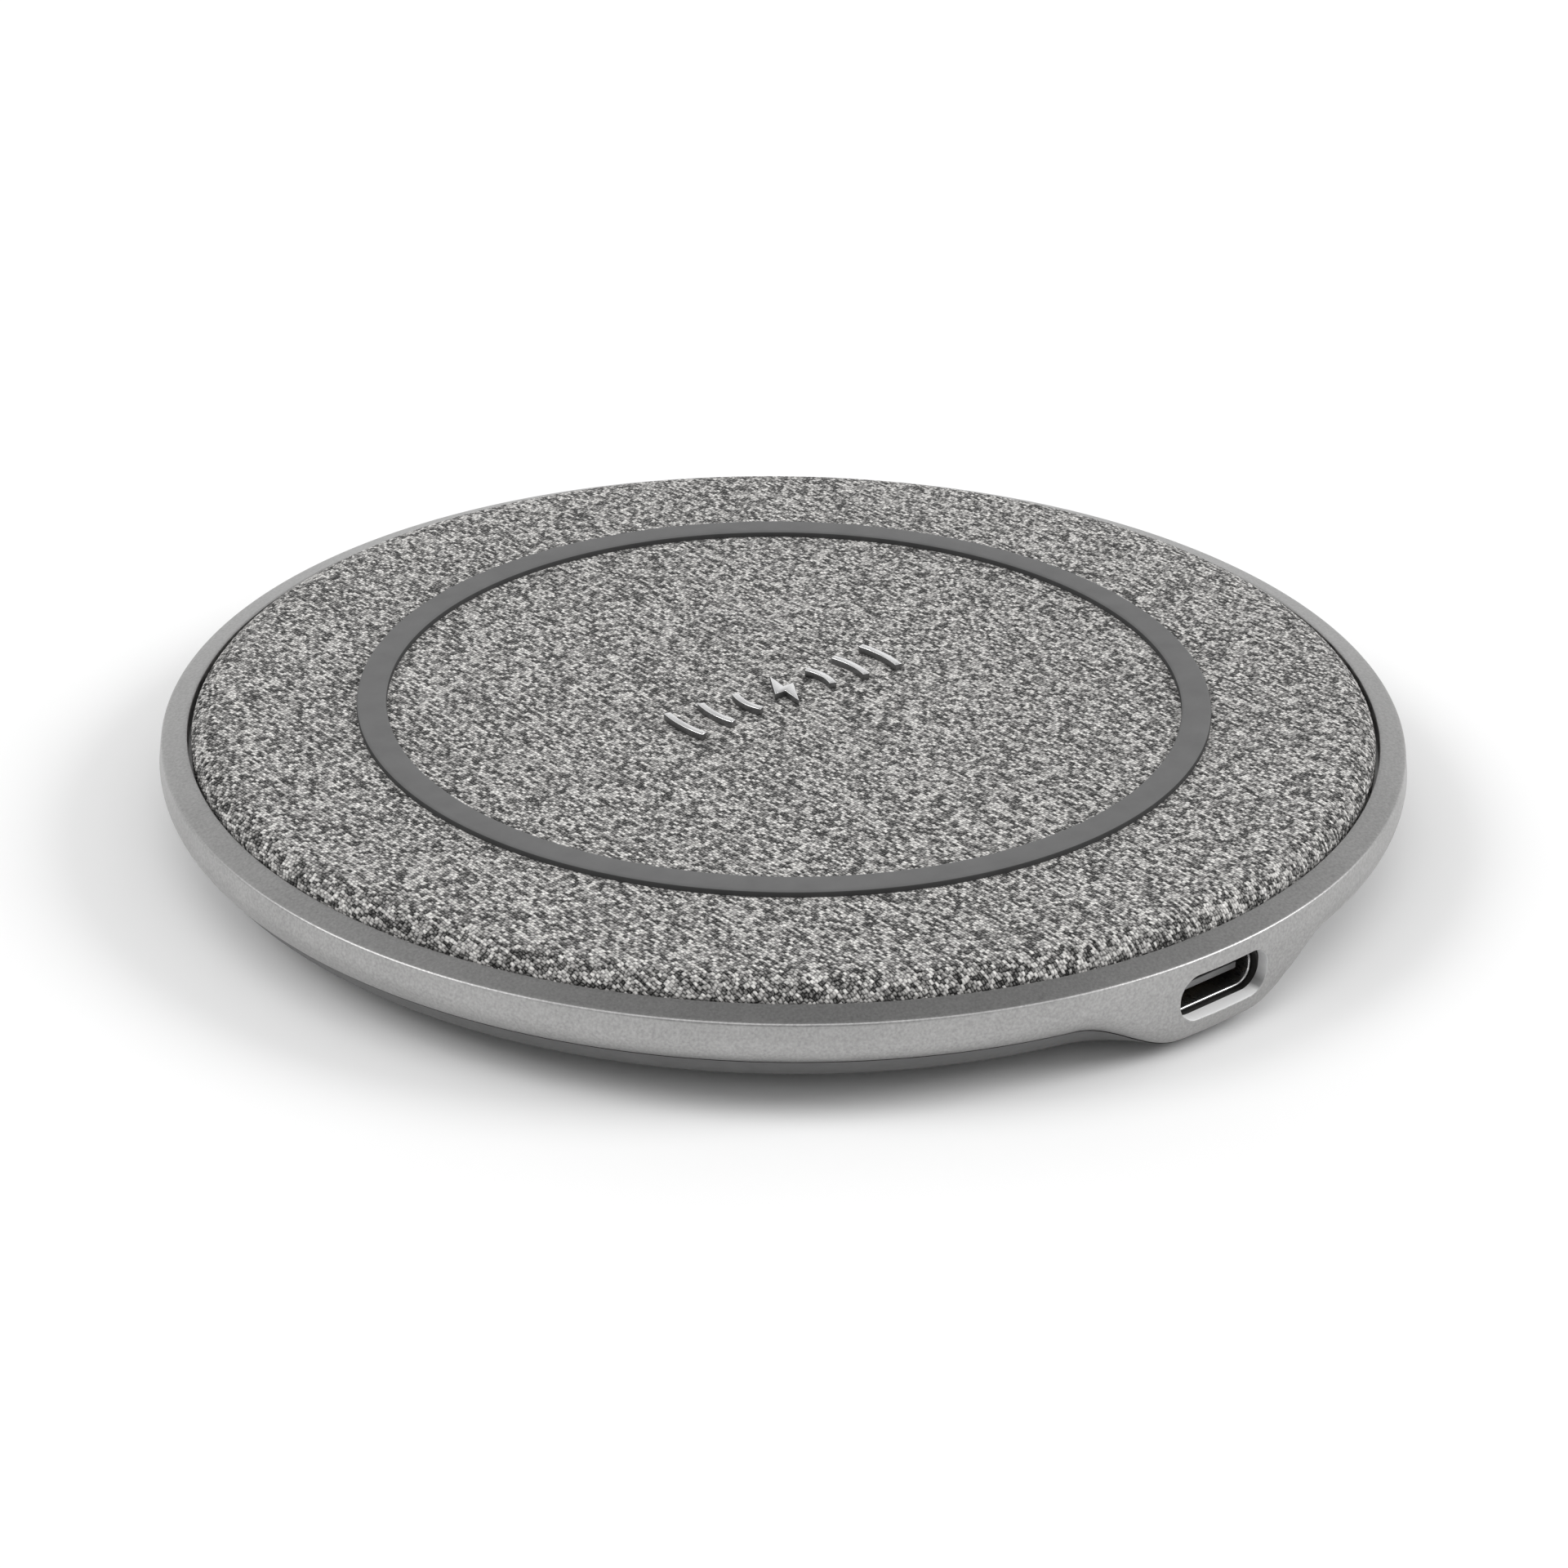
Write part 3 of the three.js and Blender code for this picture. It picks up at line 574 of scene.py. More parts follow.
def melange_fabric():
    """Woven floats of mixed light and dark fibres, each yarn's run set off from the next, with
    painted light on each float: lighter along its crest, darker at its sides and ends.
    """
    look = Look(
        "melange_fabric", Roughness=0.92, Sheen_Weight=0.12, Sheen_Roughness=0.5,
        Specular_IOR_Level=0.25,
    )
    cloth = look.node("Attribute", attribute_name="cloth").outputs["Vector"]
    noise_field = look.node("TexNoise", {"Vector": cloth, "Scale": 1 / WANDER_SIZE, "Detail": 2})
    centred = look.vector("SUBTRACT", noise_field.outputs["Color"], (0.5, 0.5, 0.5))
    wandering = look.vector("ADD", cloth, look.vector("MULTIPLY", centred, WANDER))
    axes = look.node("SeparateXYZ", {"Vector": wandering})
    across = look.math("DIVIDE", axes.outputs["X"], YARN_PITCH)
    yarn = look.math("FLOOR", across)
    squared = look.math("MULTIPLY", yarn, yarn)
    shift = look.math("FRACT", look.math("MULTIPLY", squared, YARN_STEP))
    along = look.math("ADD", look.math("DIVIDE", axes.outputs["Y"], FLOAT_PITCH), shift)
    run = look.math("FLOOR", along)

    def swell(value, power):
        """1 in the middle of each whole step of the value, 0 at its ends."""
        share = look.math("SUBTRACT", look.math("FRACT", value), 0.5)
        off_centre = look.math("MULTIPLY", look.math("ABSOLUTE", share), 2)
        return look.math("SUBTRACT", 1, look.math("POWER", off_centre, power))

    side = look.math("SQRT", swell(across, SIDE_POWER))
    crown = look.math("MULTIPLY", side, swell(along, END_POWER))
    cell = look.node("CombineXYZ", {"X": yarn, "Y": run}).outputs[0]
    tone = look.node("TexWhiteNoise", {"Vector": cell}, noise_dimensions="2D").outputs["Value"]
    fibre = look.grain(size=0.06 * MM, stretch=FIBRE_STRETCH, place=wandering)
    patch = look.grain(size=1.6 * MM, detail=3, place=cloth)

    # the crown's share is painted light: each float lighter on its crest, darker where it meets the
    # next
    shade_sum = look.math("MULTIPLY", tone, TONE_SHARE)
    for part, share in ((fibre, FIBRE_SHARE), (patch, PATCH_SHARE), (crown, CROWN_PAINTED_LIGHT_SHARE)):
        shade_sum = look.math("ADD", shade_sum, look.math("MULTIPLY", part, share))
    held = look.math("MAXIMUM", look.scale(shade_sum, DARK_FIBRE, PALE_FIBRE), DARKEST)
    level = look.math("POWER", held, SPREAD_POWER)
    plain = look.node("CombineXYZ", {"X": level, "Y": level, "Z": level}).outputs[0]
    look.colour(look.vector("MULTIPLY", plain, FABRIC_TINT))
    relief = look.math("ADD", crown, look.math("MULTIPLY", fibre, FIBRE_RELIEF))
    look.bump(relief, FLOAT_RELIEF)


def silicone(name, level, roughness):
    """Soft matt rubber with a fine moulded texture and faint dust."""
    look = Look(name, Specular_IOR_Level=0.25)
    dust = look.grain(size=2.5 * MM, detail=4)
    look.colour(look.drift(dust, low=grey(level * 0.93), high=grey(level * 1.07)))
    look.roughness(look.grain(size=0.4 * MM), low=roughness - 0.05, high=roughness + 0.06)
    look.bump(look.grain(size=0.06 * MM), depth=0.005 * MM)


def metal(name, low, high, roughness, grain=0.12 * MM, stretch=(1, 1, 1)):
    """Bare metal with uneven gloss, its grain drawn out into lines by the stretch."""
    look = Look(name, Metallic=1.0)
    field = look.grain(grain, detail=3, stretch=stretch)
    gloss = look.grain(grain * 4, stretch=stretch)
    look.colour(look.drift(field, low, high))
    look.roughness(gloss, low=roughness - 0.05, high=roughness + 0.07)
    look.bump(field, depth=0.004 * MM)


def plastic(name, low, high, roughness, grain=0.1 * MM, depth=0.006 * MM, shine=0.5):
    """Moulded plastic: slight colour drift, a fine spark texture and uneven gloss."""
    look = Look(name, Specular_IOR_Level=shine)
    gloss = look.grain(size=0.6 * MM, detail=3)
    look.colour(look.drift(look.grain(size=1.8 * MM, detail=4), low, high))
    look.roughness(gloss, low=roughness - 0.06, high=roughness + 0.08)
    look.bump(look.grain(grain), depth)


TWISTS_ROUND = 90
STRAND_PITCH = 0.05 * MM


def litz_copper():
    """Enamelled strands twisted round each other along the turns, with painted shade where the
    strands meet.
    """
    look = Look("copper_wire", Metallic=0.9)
    place = look.place()
    axes = look.node("SeparateXYZ", {"Vector": place})
    turn = look.math("ARCTAN2", axes.outputs["Y"], axes.outputs["X"])
    level_place = look.vector("MULTIPLY", place, (1, 1, 0))
    radius = look.node("VectorMath", {0: level_place}, operation="LENGTH").outputs["Value"]
    round_part = look.math("MULTIPLY", turn, TWISTS_ROUND)
    twist = look.math("ADD", round_part, look.math("DIVIDE", radius, STRAND_PITCH))
    strand = look.math("ABSOLUTE", look.math("SINE", twist))
    # dark where the strands meet: painted shade between them
    look.colour(look.ramp(strand, (0.0, (0.23, 0.07, 0.025)), (1.0, (0.78, 0.36, 0.17))))
    look.roughness(look.grain(size=0.3 * MM), low=0.28, high=0.42)
    look.bump(strand, depth=0.03 * MM)


def board_laminate():
    """Green solder mask over copper tracks, which stand a little proud under it."""
    look = Look("board_laminate")
    tracks = look.node("TexBrick", {
        "Vector": look.place(), "Scale": 1 / (2.2 * MM), "Mortar Size": 0.06,
        "Color1": grey(0), "Color2": grey(0), "Mortar": grey(1),
    })
    line = tracks.outputs["Fac"]
    look.colour(look.drift(line, low=(0.008, 0.075, 0.035), high=(0.03, 0.2, 0.09)))
    look.roughness(look.grain(size=0.5 * MM), low=0.3, high=0.45)
    look.bump(line, depth=0.02 * MM)


def foam():
    """Open-cell foam, with painted shade in its cells."""
    look = Look("foam", Roughness=0.95)
    cells = look.node("TexVoronoi", {"Vector": look.place(), "Scale": 1 / (0.35 * MM)})
    distance = cells.outputs["Distance"]
    look.colour(look.ramp(distance, (0.1, grey(0.04)), (0.7, grey(0.13))))
    look.bump(distance, depth=0.12 * MM)


def clear_acrylic():
    """Clear moulded acrylic with a faint blue drift."""
    look = Look("clear_acrylic", IOR=1.49, Transmission_Weight=0.9)
    tint = look.grain(size=0.8 * MM)
    look.colour(look.drift(tint, low=(0.86, 0.9, 0.92), high=(0.94, 0.96, 0.97)))
    look.roughness(look.grain(size=0.2 * MM), low=0.08, high=0.2)


def make_looks():
    """One look for each material slot of the record, and five more for parts of a piece."""
    blasted_aluminium()
    melange_fabric()
    silicone("grey_silicone", level=0.131, roughness=0.6)
    silicone("foot_silicone", level=0.07, roughness=0.7)
    metal("emblem_metal", grey(0.84), grey(0.93), roughness=0.24)
    plastic("base_plastic", grey(0.096), grey(0.111), roughness=0.55)
    metal("steel_screw", grey(0.5), grey(0.62), roughness=0.3, grain=0.2 * MM)
    plastic("black_plastic", grey(0.014, 0.05), grey(0.022, 0.05), roughness=0.6)
    metal("shell_steel", grey(0.5), grey(0.62), roughness=0.27, stretch=(1, 0.2, 1))
    plastic("tongue_plastic", grey(0.014), grey(0.022), roughness=0.6, shine=0.05)
    plastic("carrier_plastic", grey(0.6), grey(0.68), roughness=0.5)
    plastic("adhesive_film", (0.62, 0.55, 0.38), (0.72, 0.65, 0.47), roughness=0.35)
    litz_copper()
    plastic("ferrite", grey(0.018), grey(0.032), roughness=0.5, grain=0.3 * MM, depth=0.02 * MM)
    foam()
    board_laminate()
    plastic("thermal_silicone", (0.2, 0.32, 0.45), (0.26, 0.38, 0.5), roughness=0.7)
    plastic("chip_resin", grey(0.012), grey(0.02), roughness=0.5, grain=0.05 * MM)
    metal("crystal_can", grey(0.6), grey(0.7), roughness=0.28, stretch=(1, 0.1, 1))
    plastic("capacitor_ceramic", (0.3, 0.2, 0.1), (0.38, 0.26, 0.14), roughness=0.45)
    clear_acrylic()
    port_wall_painted_light()
    # a darker copy of the ring's silicone: painted shade on its steep walls
    silicone("silicone_wall_painted_shade", level=0.05, roughness=0.75)
    # a darker copy of the emblem's metal: painted shade on the marks' sides
    metal("emblem_side_painted_shade", grey(0.17), grey(0.25), roughness=0.42)
    # a lighter grey for the tongue's front: painted light where the lamps catch its tip
    plastic("tongue_tip", grey(0.15), grey(0.19), roughness=0.4)
    metal("contact_gold", (0.8, 0.55, 0.2), (0.9, 0.66, 0.28), roughness=0.25)


def paint_frame_nodes():
    """Each CAD node that stays gets the material of its slot in the record."""
    for node, slot in SLOTS.items():
        materials = frame["nodes"][node].data.materials
        materials.clear()
        materials.append(LOOKS[slot])


# ---- outer frame

SIDE_ROWS = 22
UPPER_SIDE_SHARES = (0.2, 0.4, 0.6, 0.8)
BEZEL_SHARES = (0.2, 0.5, 0.8)
FINE_STEP = math.radians(0.5)
PLAIN_STEP = math.radians(1)
FINE_NEAR_INLET = math.radians(18)
FINE_NEAR_LIGHT = math.radians(4)

# Rings between a port's window and its mouth, as shares of the way out to the window
WINDOW_SHARES = (0.68, 0.42, 0.23, 0.1, 0.03, 0.0)
SLEEVE_STEP = 0.6 * MM  # the port's wall has a ring this far in front of its blind end
METAL_LOOK = 0
CUT_LOOK = 1


def boss_blend(angle):
    """1 over the middle of the boss, 0 on the plain rim."""
    away = abs(math.remainder(angle - INLET_ANGLE, 2 * math.pi))
    return 1 - smoothstep(away, BOSS_FLAT, BOSS_END)


def between(start, end, shares):
    """Unrounded corners at shares of the way from one [radius, height] to another."""
    return [
        (start[0] + (end[0] - start[0]) * t, start[1] + (end[1] - start[1]) * t, 0)
        for t in shares
    ]


def frame_section(blend):
    """The frame's section, counter-clockwise: ledge, inside wall, lip, side, bezel, groove."""
    arc = ellipse_arc(
        (SIDE_R - SIDE_CURVE_WIDTH, SIDE_CURVE_TOP_Z - BOSS_DROP * blend),
        (SIDE_CURVE_WIDTH, SIDE_CURVE_HEIGHT),
        math.pi / 2, math.pi / 2 + SIDE_CURVE_SWEEP, steps=30,
    )
    side = resampled([(SIDE_R, SIDE_CURVE_TOP_Z), *arc], SIDE_ROWS)[::-1]
    crease_r, low_z = side[0]
    edge = (EDGE_R, EDGE_Z)
    bezel_inner = (BEZEL_INNER_R, BEZEL_INNER_Z)
    return with_fillets([
        (BEZEL_INNER_R, fabric_low.z, 0),
        (LEDGE_R, fabric_low.z, 0),
        (LEDGE_R, LEDGE_LOW_Z, 0),
        (FRAME_WALL_R, LEDGE_LOW_Z, 0),
        (FRAME_WALL_R, (LEDGE_LOW_Z + low_z) / 2, 0),
        (FRAME_WALL_R, low_z, 0),
        (crease_r, low_z, CREASE_FILLET),
        *[(r, z, 0) for r, z in side[1:]],
        *between((SIDE_R, SIDE_CURVE_TOP_Z), edge, UPPER_SIDE_SHARES),
        (*edge, EDGE_FILLET),
        *between(edge, bezel_inner, BEZEL_SHARES),
        (*bezel_inner, BEZEL_INNER_FILLET),
        (BEZEL_INNER_R, BEZEL_INNER_Z - GROOVE_STEP, 0),
    ])


FIRST_SIDE_ROW = 11  # the first point of the section above the crease's fillet
WINDOW_LOW_ROW = FIRST_SIDE_ROW + 1
WINDOW_TOP_ROW = FIRST_SIDE_ROW + SIDE_ROWS + 1


def frame_angles():
    """Angles round the frame, closer together at the inlet and the light."""
    angles = []
    angle = -math.pi
    while angle < math.pi - FINE_STEP / 2:
        angles.append(angle)
        middle = angle + FINE_STEP / 2
        near_inlet = abs(middle - INLET_ANGLE) < FINE_NEAR_INLET
        near_light = abs(middle - LIGHT_ANGLE) < FINE_NEAR_LIGHT
        angle += FINE_STEP if near_inlet or near_light else PLAIN_STEP
    return angles


def facing_point(facing, out, across, height):
    return (
        out * math.cos(facing) - across * math.sin(facing),
        out * math.sin(facing) + across * math.cos(facing),
        height,
    )


def side_point(facing, across, height, depth=0):
    """A point at that distance across from the middle of a port facing an angle, on the
    side's surface or depth behind it."""
    section = np.array(frame_section(boss_blend(facing + math.asin(across / SIDE_R))))
    side = section[FIRST_SIDE_ROW:WINDOW_TOP_ROW + 2]
    radius = np.interp(height, side[:, 1], side[:, 0])
    return facing_point(facing, math.sqrt(radius ** 2 - across ** 2) - depth, across, height)


class FrameMesh:
    """The turned frame as columns of section points, with windows meshed round its ports."""

    def __init__(self):
        self.angles = frame_angles()
        self.sections = [np.array(frame_section(boss_blend(a))) for a in self.angles]
        self.rows = len(self.sections[0])
        self.vertices = [
            polar(r, a, z) for a, section in zip(self.angles, self.sections) for r, z in section
        ]
        self.faces = []
        self.looks = []
        self.open_cells = set()

    def number(self, column, row):
        return (column % len(self.angles)) * self.rows + row % self.rows

    def open_port(self, facing, half_angle, middle_z, size, fillet, blind_end):
        """Cuts a rounded hole into the side, in to a distance from the middle of blind_end,
        with a filleted mouth, and fits the side's mesh round it."""
        columns = [i for i, a in enumerate(self.angles) if abs(a - facing) < half_angle]
        first, last = columns[0], columns[-1]
        low, top = WINDOW_LOW_ROW, WINDOW_TOP_ROW
        self.open_cells |= {(c, r) for c in range(first, last) for r in range(low, top)}
        boundary = (
            [(c, low) for c in range(first, last)] + [(last, r) for r in range(low, top)]
            + [(c, top) for c in range(last, first, -1)] + [(first, r) for r in range(top, low, -1)]
        )
        flat_outer = np.array([
            (SIDE_R * math.sin(self.angles[c] - facing), self.sections[c][r][1])
            for c, r in boundary
        ])
        outline = rounded_outline(*size, (last - first, top - low) * 2)

        def loop(grow):
            return outline[:, :2] + outline[:, 2:] * grow + (0, middle_z)

        mouth = loop(fillet)
        rings = [[self.number(c, r) for c, r in boundary]]
        for share in WINDOW_SHARES:
            flat = mouth + (flat_outer - mouth) * share
            rings.append(self.add([side_point(facing, x, z) for x, z in flat]))
        first_cut = len(rings) + 1
        for step in range(1, FILLET_STEPS + 1):
            angle = math.pi / 2 * step / FILLET_STEPS
            depth = fillet * (1 - math.cos(angle))
            flat = loop(fillet * (1 - math.sin(angle)))
            rings.append(self.add([side_point(facing, x, z, depth) for x, z in flat]))
        for out in (blind_end + SLEEVE_STEP, blind_end):
            rings.append(self.add([facing_point(facing, out, x, z) for x, z in loop(0)]))
        for index, (ring, inner) in enumerate(zip(rings, rings[1:])):
            self.join(ring, inner, METAL_LOOK if index < first_cut else CUT_LOOK)
        self.faces.append(tuple(rings[-1]))
        self.looks.append(CUT_LOOK)

    def add(self, points):
        start = len(self.vertices)
        self.vertices += points
        return list(range(start, start + len(points)))

    def join(self, ring, inner, look):
        count = len(ring)
        for k in range(count):
            after = (k + 1) % count
            self.faces.append((ring[k], ring[after], inner[after], inner[k]))
            self.looks.append(look)

    def close(self):
        """The frame's own faces, apart from those that the ports took."""
        for c in range(len(self.angles)):
            for r in range(self.rows):
                if (c, r) not in self.open_cells:
                    self.faces.append((
                        self.number(c, r), self.number(c + 1, r),
                        self.number(c + 1, r + 1), self.number(c, r + 1),
                    ))
                    self.looks.append(METAL_LOOK)


def make_outer_frame():
    grid = FrameMesh()
    grid.open_port(
        INLET_ANGLE, SLOT_HALF_WINDOW, SLOT_Z, SLOT_SIZE, SLOT_FILLET, -INLET_WALL_Y - SLOT_BLIND
    )
    hole_size = (2 * LIGHT_HOLE_R, 2 * LIGHT_HOLE_R, LIGHT_HOLE_R)
    grid.open_port(
        LIGHT_ANGLE, LIGHT_HALF_WINDOW, LIGHT_Z, hole_size, LIGHT_HOLE_FILLET,
        FRAME_WALL_R + LIGHT_BLIND,
    )
    grid.close()
    # the second look puts painted light on the walls of the inlet slot and the light's hole
    looks = ("blasted_aluminium", "port_wall_painted_light")
    piece = mesh_object("frame_ring", grid.vertices, grid.faces, looks, grid.looks)
    pocket = box_cutter(
        (insert_low.x - POCKET_GAP, INLET_WALL_Y, insert_low.z - POCKET_GAP),
        (insert_high.x + POCKET_GAP, insert_high.y + POCKET_PAST, insert_high.z + POCKET_GAP),
    )
    light_relief = rod_cutter(
        LIGHT_HOLE_R * LIGHT_RELIEF_SHARE,
        (0, FRAME_WALL_R - LIGHT_RELIEF_IN, LIGHT_Z),
        (0, FRAME_WALL_R + LIGHT_RELIEF_OUT, LIGHT_Z),
    )
    cut(piece, [pocket, light_relief])
    finish_piece(piece, "outer_frame")


# ---- base and foot

BASE_SEGMENTS = 360
FOOT_SEGMENTS = 256
SCREW_COUNT = 4


def dish_arc(low_z, size, steps):
    """The dish's curve from its flat part out to the rim."""
    centre = (DISH_START_R, low_z + size[1])
    return ellipse_arc(centre, size, math.pi, math.pi - DISH_SWEEP, steps)


def base_section(blend):
    """Clockwise from the inside's middle, out over the rim, and back under to the middle."""
    outside = dish_arc(base_low.z, DISH_OUTSIDE, steps=16)
    inside = dish_arc(BASE_FLOOR_Z, DISH_INSIDE, steps=10)
    rim_z = base_high.z
    kept = 1 - blend * (1 - (BOSS_LIP_Z - base_low.z) / (rim_z - base_low.z))
    foot_inner = FOOT_INNER_R - FOOT_SIDE_GAP
    foot_outer = foot_high.x + FOOT_SIDE_GAP

    def flattened(z):
        return base_low.z + (z - base_low.z) * kept

    return [
        (0, BASE_FLOOR_Z),
        (DISH_START_R / 2, BASE_FLOOR_Z),
        *[(r, BASE_FLOOR_Z + (z - BASE_FLOOR_Z) * (1 - blend)) for r, z in inside],
        (inside[-1][0], flattened(rim_z)),
        *[(r, flattened(min(z, rim_z))) for r, z in outside[::-1]],
        (foot_outer, base_low.z),
        (foot_outer, foot_high.z),
        (foot_inner, foot_high.z),
        (foot_inner, base_low.z),
        (foot_inner / 2, base_low.z),
        (0, base_low.z),
    ]


def make_base():
    angles = np.arange(BASE_SEGMENTS) * 2 * math.pi / BASE_SEGMENTS
    sections = [base_section(boss_blend(a)) for a in angles]
    rings = [
        [polar(r, a, z) for a, (r, z) in zip(angles, row)] if row[0][0] > 0 else [(0, *row[0])]
        for row in zip(*sections)
    ]
    piece = skinned("base_cover", rings, ["base_plastic"])
    cutters = []
    for i in range(SCREW_COUNT):
        low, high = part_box(f"base_screw_{i + 1}")
        x, y = (low.x + high.x) / 2, (low.y + high.y) / 2
        hole_top = BASE_FLOOR_Z + SCREW_HOLE_PAST
        cutters.append(rod_cutter(COUNTERBORE_R, (x, y, 0), (x, y, COUNTERBORE_TOP_Z)))
        cutters.append(rod_cutter(SCREW_HOLE_R, (x, y, 0), (x, y, hole_top)))
    cut(piece, cutters)
    finish_piece(piece, "base_plate")


def make_foot():
    section = with_fillets([
        (FOOT_INNER_R, foot_high.z, 0),
        (foot_high.x, foot_high.z, 0),
        (foot_high.x, foot_low.z, FOOT_FILLET),
        (FOOT_INNER_R, foot_low.z, FOOT_FILLET),
    ])
    foot = turned("foot_pad", section, FOOT_SEGMENTS, ["foot_silicone"])
    finish_piece(foot, "foot_ring")


# ---- fabric and its ring

RIM_SEGMENTS = 2400
# Rings of the flat part: distance from the middle in millimetres, and points round it
FLAT_RINGS = (
    (3, 150), (7, 150), (12, 300), (18, 300), (24, 600), (31, 600), (38, 1200), (43, 1200),
    (44.6, 1200),
)
# Rings along the cloth over the roll, and the last two down in the groove
ROLL_START = 45.2 * MM
ROLL_STEP = 0.125 * MM
ROLL_STOP_SHORT = 0.7 * MM
TUCK = 0.35 * MM
# Radius and points of the rings under the fabric's flat part, the last one a pole
UNDER_RINGS = ((30 * MM, 300), (12 * MM, 150), (0, 1))
NUB_HEIGHT = 0.085 * MM
NUB_START = 45 * MM
NUB_FULL = 46.4 * MM
NUB_LEVEL = 0.8  # the height of a float that lies on the plain surface
SLOPE_REACH = 0.05 * MM
SLOW_WARP_SIZE = 7 * MM  # the weave wanders slowly over this distance, and quickly too
QUICK_WARP_SIZE = 2.6 * MM
SLOW_WARP = 0.25  # how far it wanders, in millimetres
QUICK_WARP = 0.07
QUICK_WARP_LAYER = 9 * MM


def fabric_path():
    """The top's section by cloth length: distances from the middle and [radius, height]."""
    roll = ellipse_arc(
        (FLAT_TOP_R, fabric_high.z - FABRIC_OUTER_ROLL[1]), FABRIC_OUTER_ROLL,
        0, math.pi / 2, steps=60,
    )
    path = np.array([(0, fabric_high.z), *roll, (roll[-1][0], fabric_low.z)])
    steps = np.linalg.norm(np.diff(path, axis=0), axis=1)
    return np.concatenate(([0], np.cumsum(steps))), path


def cloth_warp(x, y):
    """How far the weave wanders from straight at a point of the flat cloth."""
    slow = noise.noise_vector(Vector((x, y, 0)) / SLOW_WARP_SIZE)
    quick = noise.noise_vector(Vector((x, y, QUICK_WARP_LAYER)) / QUICK_WARP_SIZE)
    return slow * SLOW_WARP * MM + quick * QUICK_WARP * MM


def float_height(x, y):
    """Height from 0 to 1 of the float at a point of the warped cloth, where the material has
    it too, apart from the material's own small wandering."""
    across = x / YARN_PITCH
    shift = (math.floor(across) ** 2 * YARN_STEP) % 1
    along = y / FLOAT_PITCH + shift
    side = abs(across % 1 - 0.5) * 2
    end = abs(along % 1 - 0.5) * 2
    return math.sqrt(max(1 - side ** SIDE_POWER, 0)) * (1 - end ** END_POWER)


def fabric_ring(surface, reach, count):
    """One ring of the top at a distance along the cloth: its points, raised by the floats on
    the roll, and their places on the warped flat cloth."""
    radius, height = surface(reach)
    slope_r, slope_z = surface(reach + SLOPE_REACH) - surface(reach - SLOPE_REACH)
    normal = np.array((-slope_z, slope_r)) / math.hypot(slope_r, slope_z)
    nub = NUB_HEIGHT * smoothstep(reach, NUB_START, NUB_FULL)
    ring, flat = [], []
    for k in range(count):
        angle = 2 * math.pi * k / count
        x, y = polar(reach, angle)
        warp = cloth_warp(x, y)
        x, y = x + warp.x, y + warp.y
        lift = nub * (float_height(x, y) - NUB_LEVEL) if nub > 0 else 0
        ring.append(polar(radius + normal[0] * lift, angle, height + normal[1] * lift))
        flat.append((x, y))
    return ring, flat


def fabric_underside():
    """Radius, height and points of the rings back from the groove to the middle."""
    outer_r = FLAT_TOP_R + FABRIC_INNER_ROLL[0]
    roll_z = FABRIC_UNDERSIDE_Z - FABRIC_INNER_ROLL[1]
    roll = ellipse_arc((FLAT_TOP_R, roll_z), FABRIC_INNER_ROLL, math.pi / 2, 0, steps=5)
    return [
        (outer_r, fabric_low.z, RIM_SEGMENTS),
        (outer_r, roll_z, RIM_SEGMENTS // 2),
        *[(r, z, RIM_SEGMENTS // 4) for r, z in roll[1:]],
        *[(r, FABRIC_UNDERSIDE_Z, count) for r, count in UNDER_RINGS],
    ]


def make_fabric():
    lengths, path = fabric_path()
    total = lengths[-1]

    def surface(reach):
        return np.array([np.interp(reach, lengths, path[:, axis]) for axis in (0, 1)])

    places = [(reach * MM, count) for reach, count in FLAT_RINGS]
    rolled = np.arange(ROLL_START, total - ROLL_STOP_SHORT, ROLL_STEP)
    places += [(reach, RIM_SEGMENTS) for reach in (*rolled, total - TUCK, total)]
    rings = [[(0, 0, fabric_high.z)]]
    cloth = [[(0, 0)]]
    for reach, count in places:
        ring, flat = fabric_ring(surface, reach, count)
        rings.append(ring)
        cloth.append(flat)
    for r, z, count in fabric_underside():
        ring = round_ring(r, z, count)
        rings.append(ring)
        cloth.append([(x, y) for x, y, _ in ring])
    piece = skinned("fabric_top", rings, ["melange_fabric"], sharp=80)
    attribute = piece.data.attributes.new("cloth", "FLOAT_VECTOR", "POINT")
    flat = np.array([(*point, 0) for ring in cloth for point in ring], np.float32)
    attribute.data.foreach_set("vector", flat.ravel())
    finish_piece(piece, "fabric_cover")


RING_INNER_R = 32 * MM
RING_FILLET = 0.26 * MM
RING_SEGMENTS = 512
RING_SHADED_WALL_SLOPE = 0.4  # faces steeper than this are the ring's walls, in darker silicone as painted shade


def make_grip_ring():
    section = with_fillets([
        (RING_INNER_R, ring_low.z, 0),
        (RING_INNER_R, ring_high.z, RING_FILLET),
        (ring_high.x, ring_high.z, RING_FILLET),
        (ring_high.x, ring_low.z, 0),
    ], steps=6)
    # the steep walls get the darker silicone, painted shade beside the fabric
    looks = ("grey_silicone", "silicone_wall_painted_shade")
    piece = turned("grip_ring", section, RING_SEGMENTS, looks)
    split_by_slope(piece, RING_SHADED_WALL_SLOPE)
    finish_piece(piece, "silicone_ring")


# ---- emblem

EMBLEM_STROKE = 0.6 * MM
EMBLEM_ARCS = ((4.1, 24), (7.3, 16.5), (10.5, 13))  # radius in mm, degrees to each side
EMBLEM_ARC_POINTS = 25
EMBLEM_BEVEL = 0.06 * MM
EMBLEM_SHADED_SIDE_SLOPE = 0.5  # faces steeper than this get darker metal, painted shade on the sides; flatter faces get the bright metal
# In millimetres
BOLT_OUTLINE = (
    (0.55, 2.5), (-1.25, -0.35), (-0.2, -0.35), (-0.55, -2.5), (1.25, 0.35), (0.2, 0.35),
)


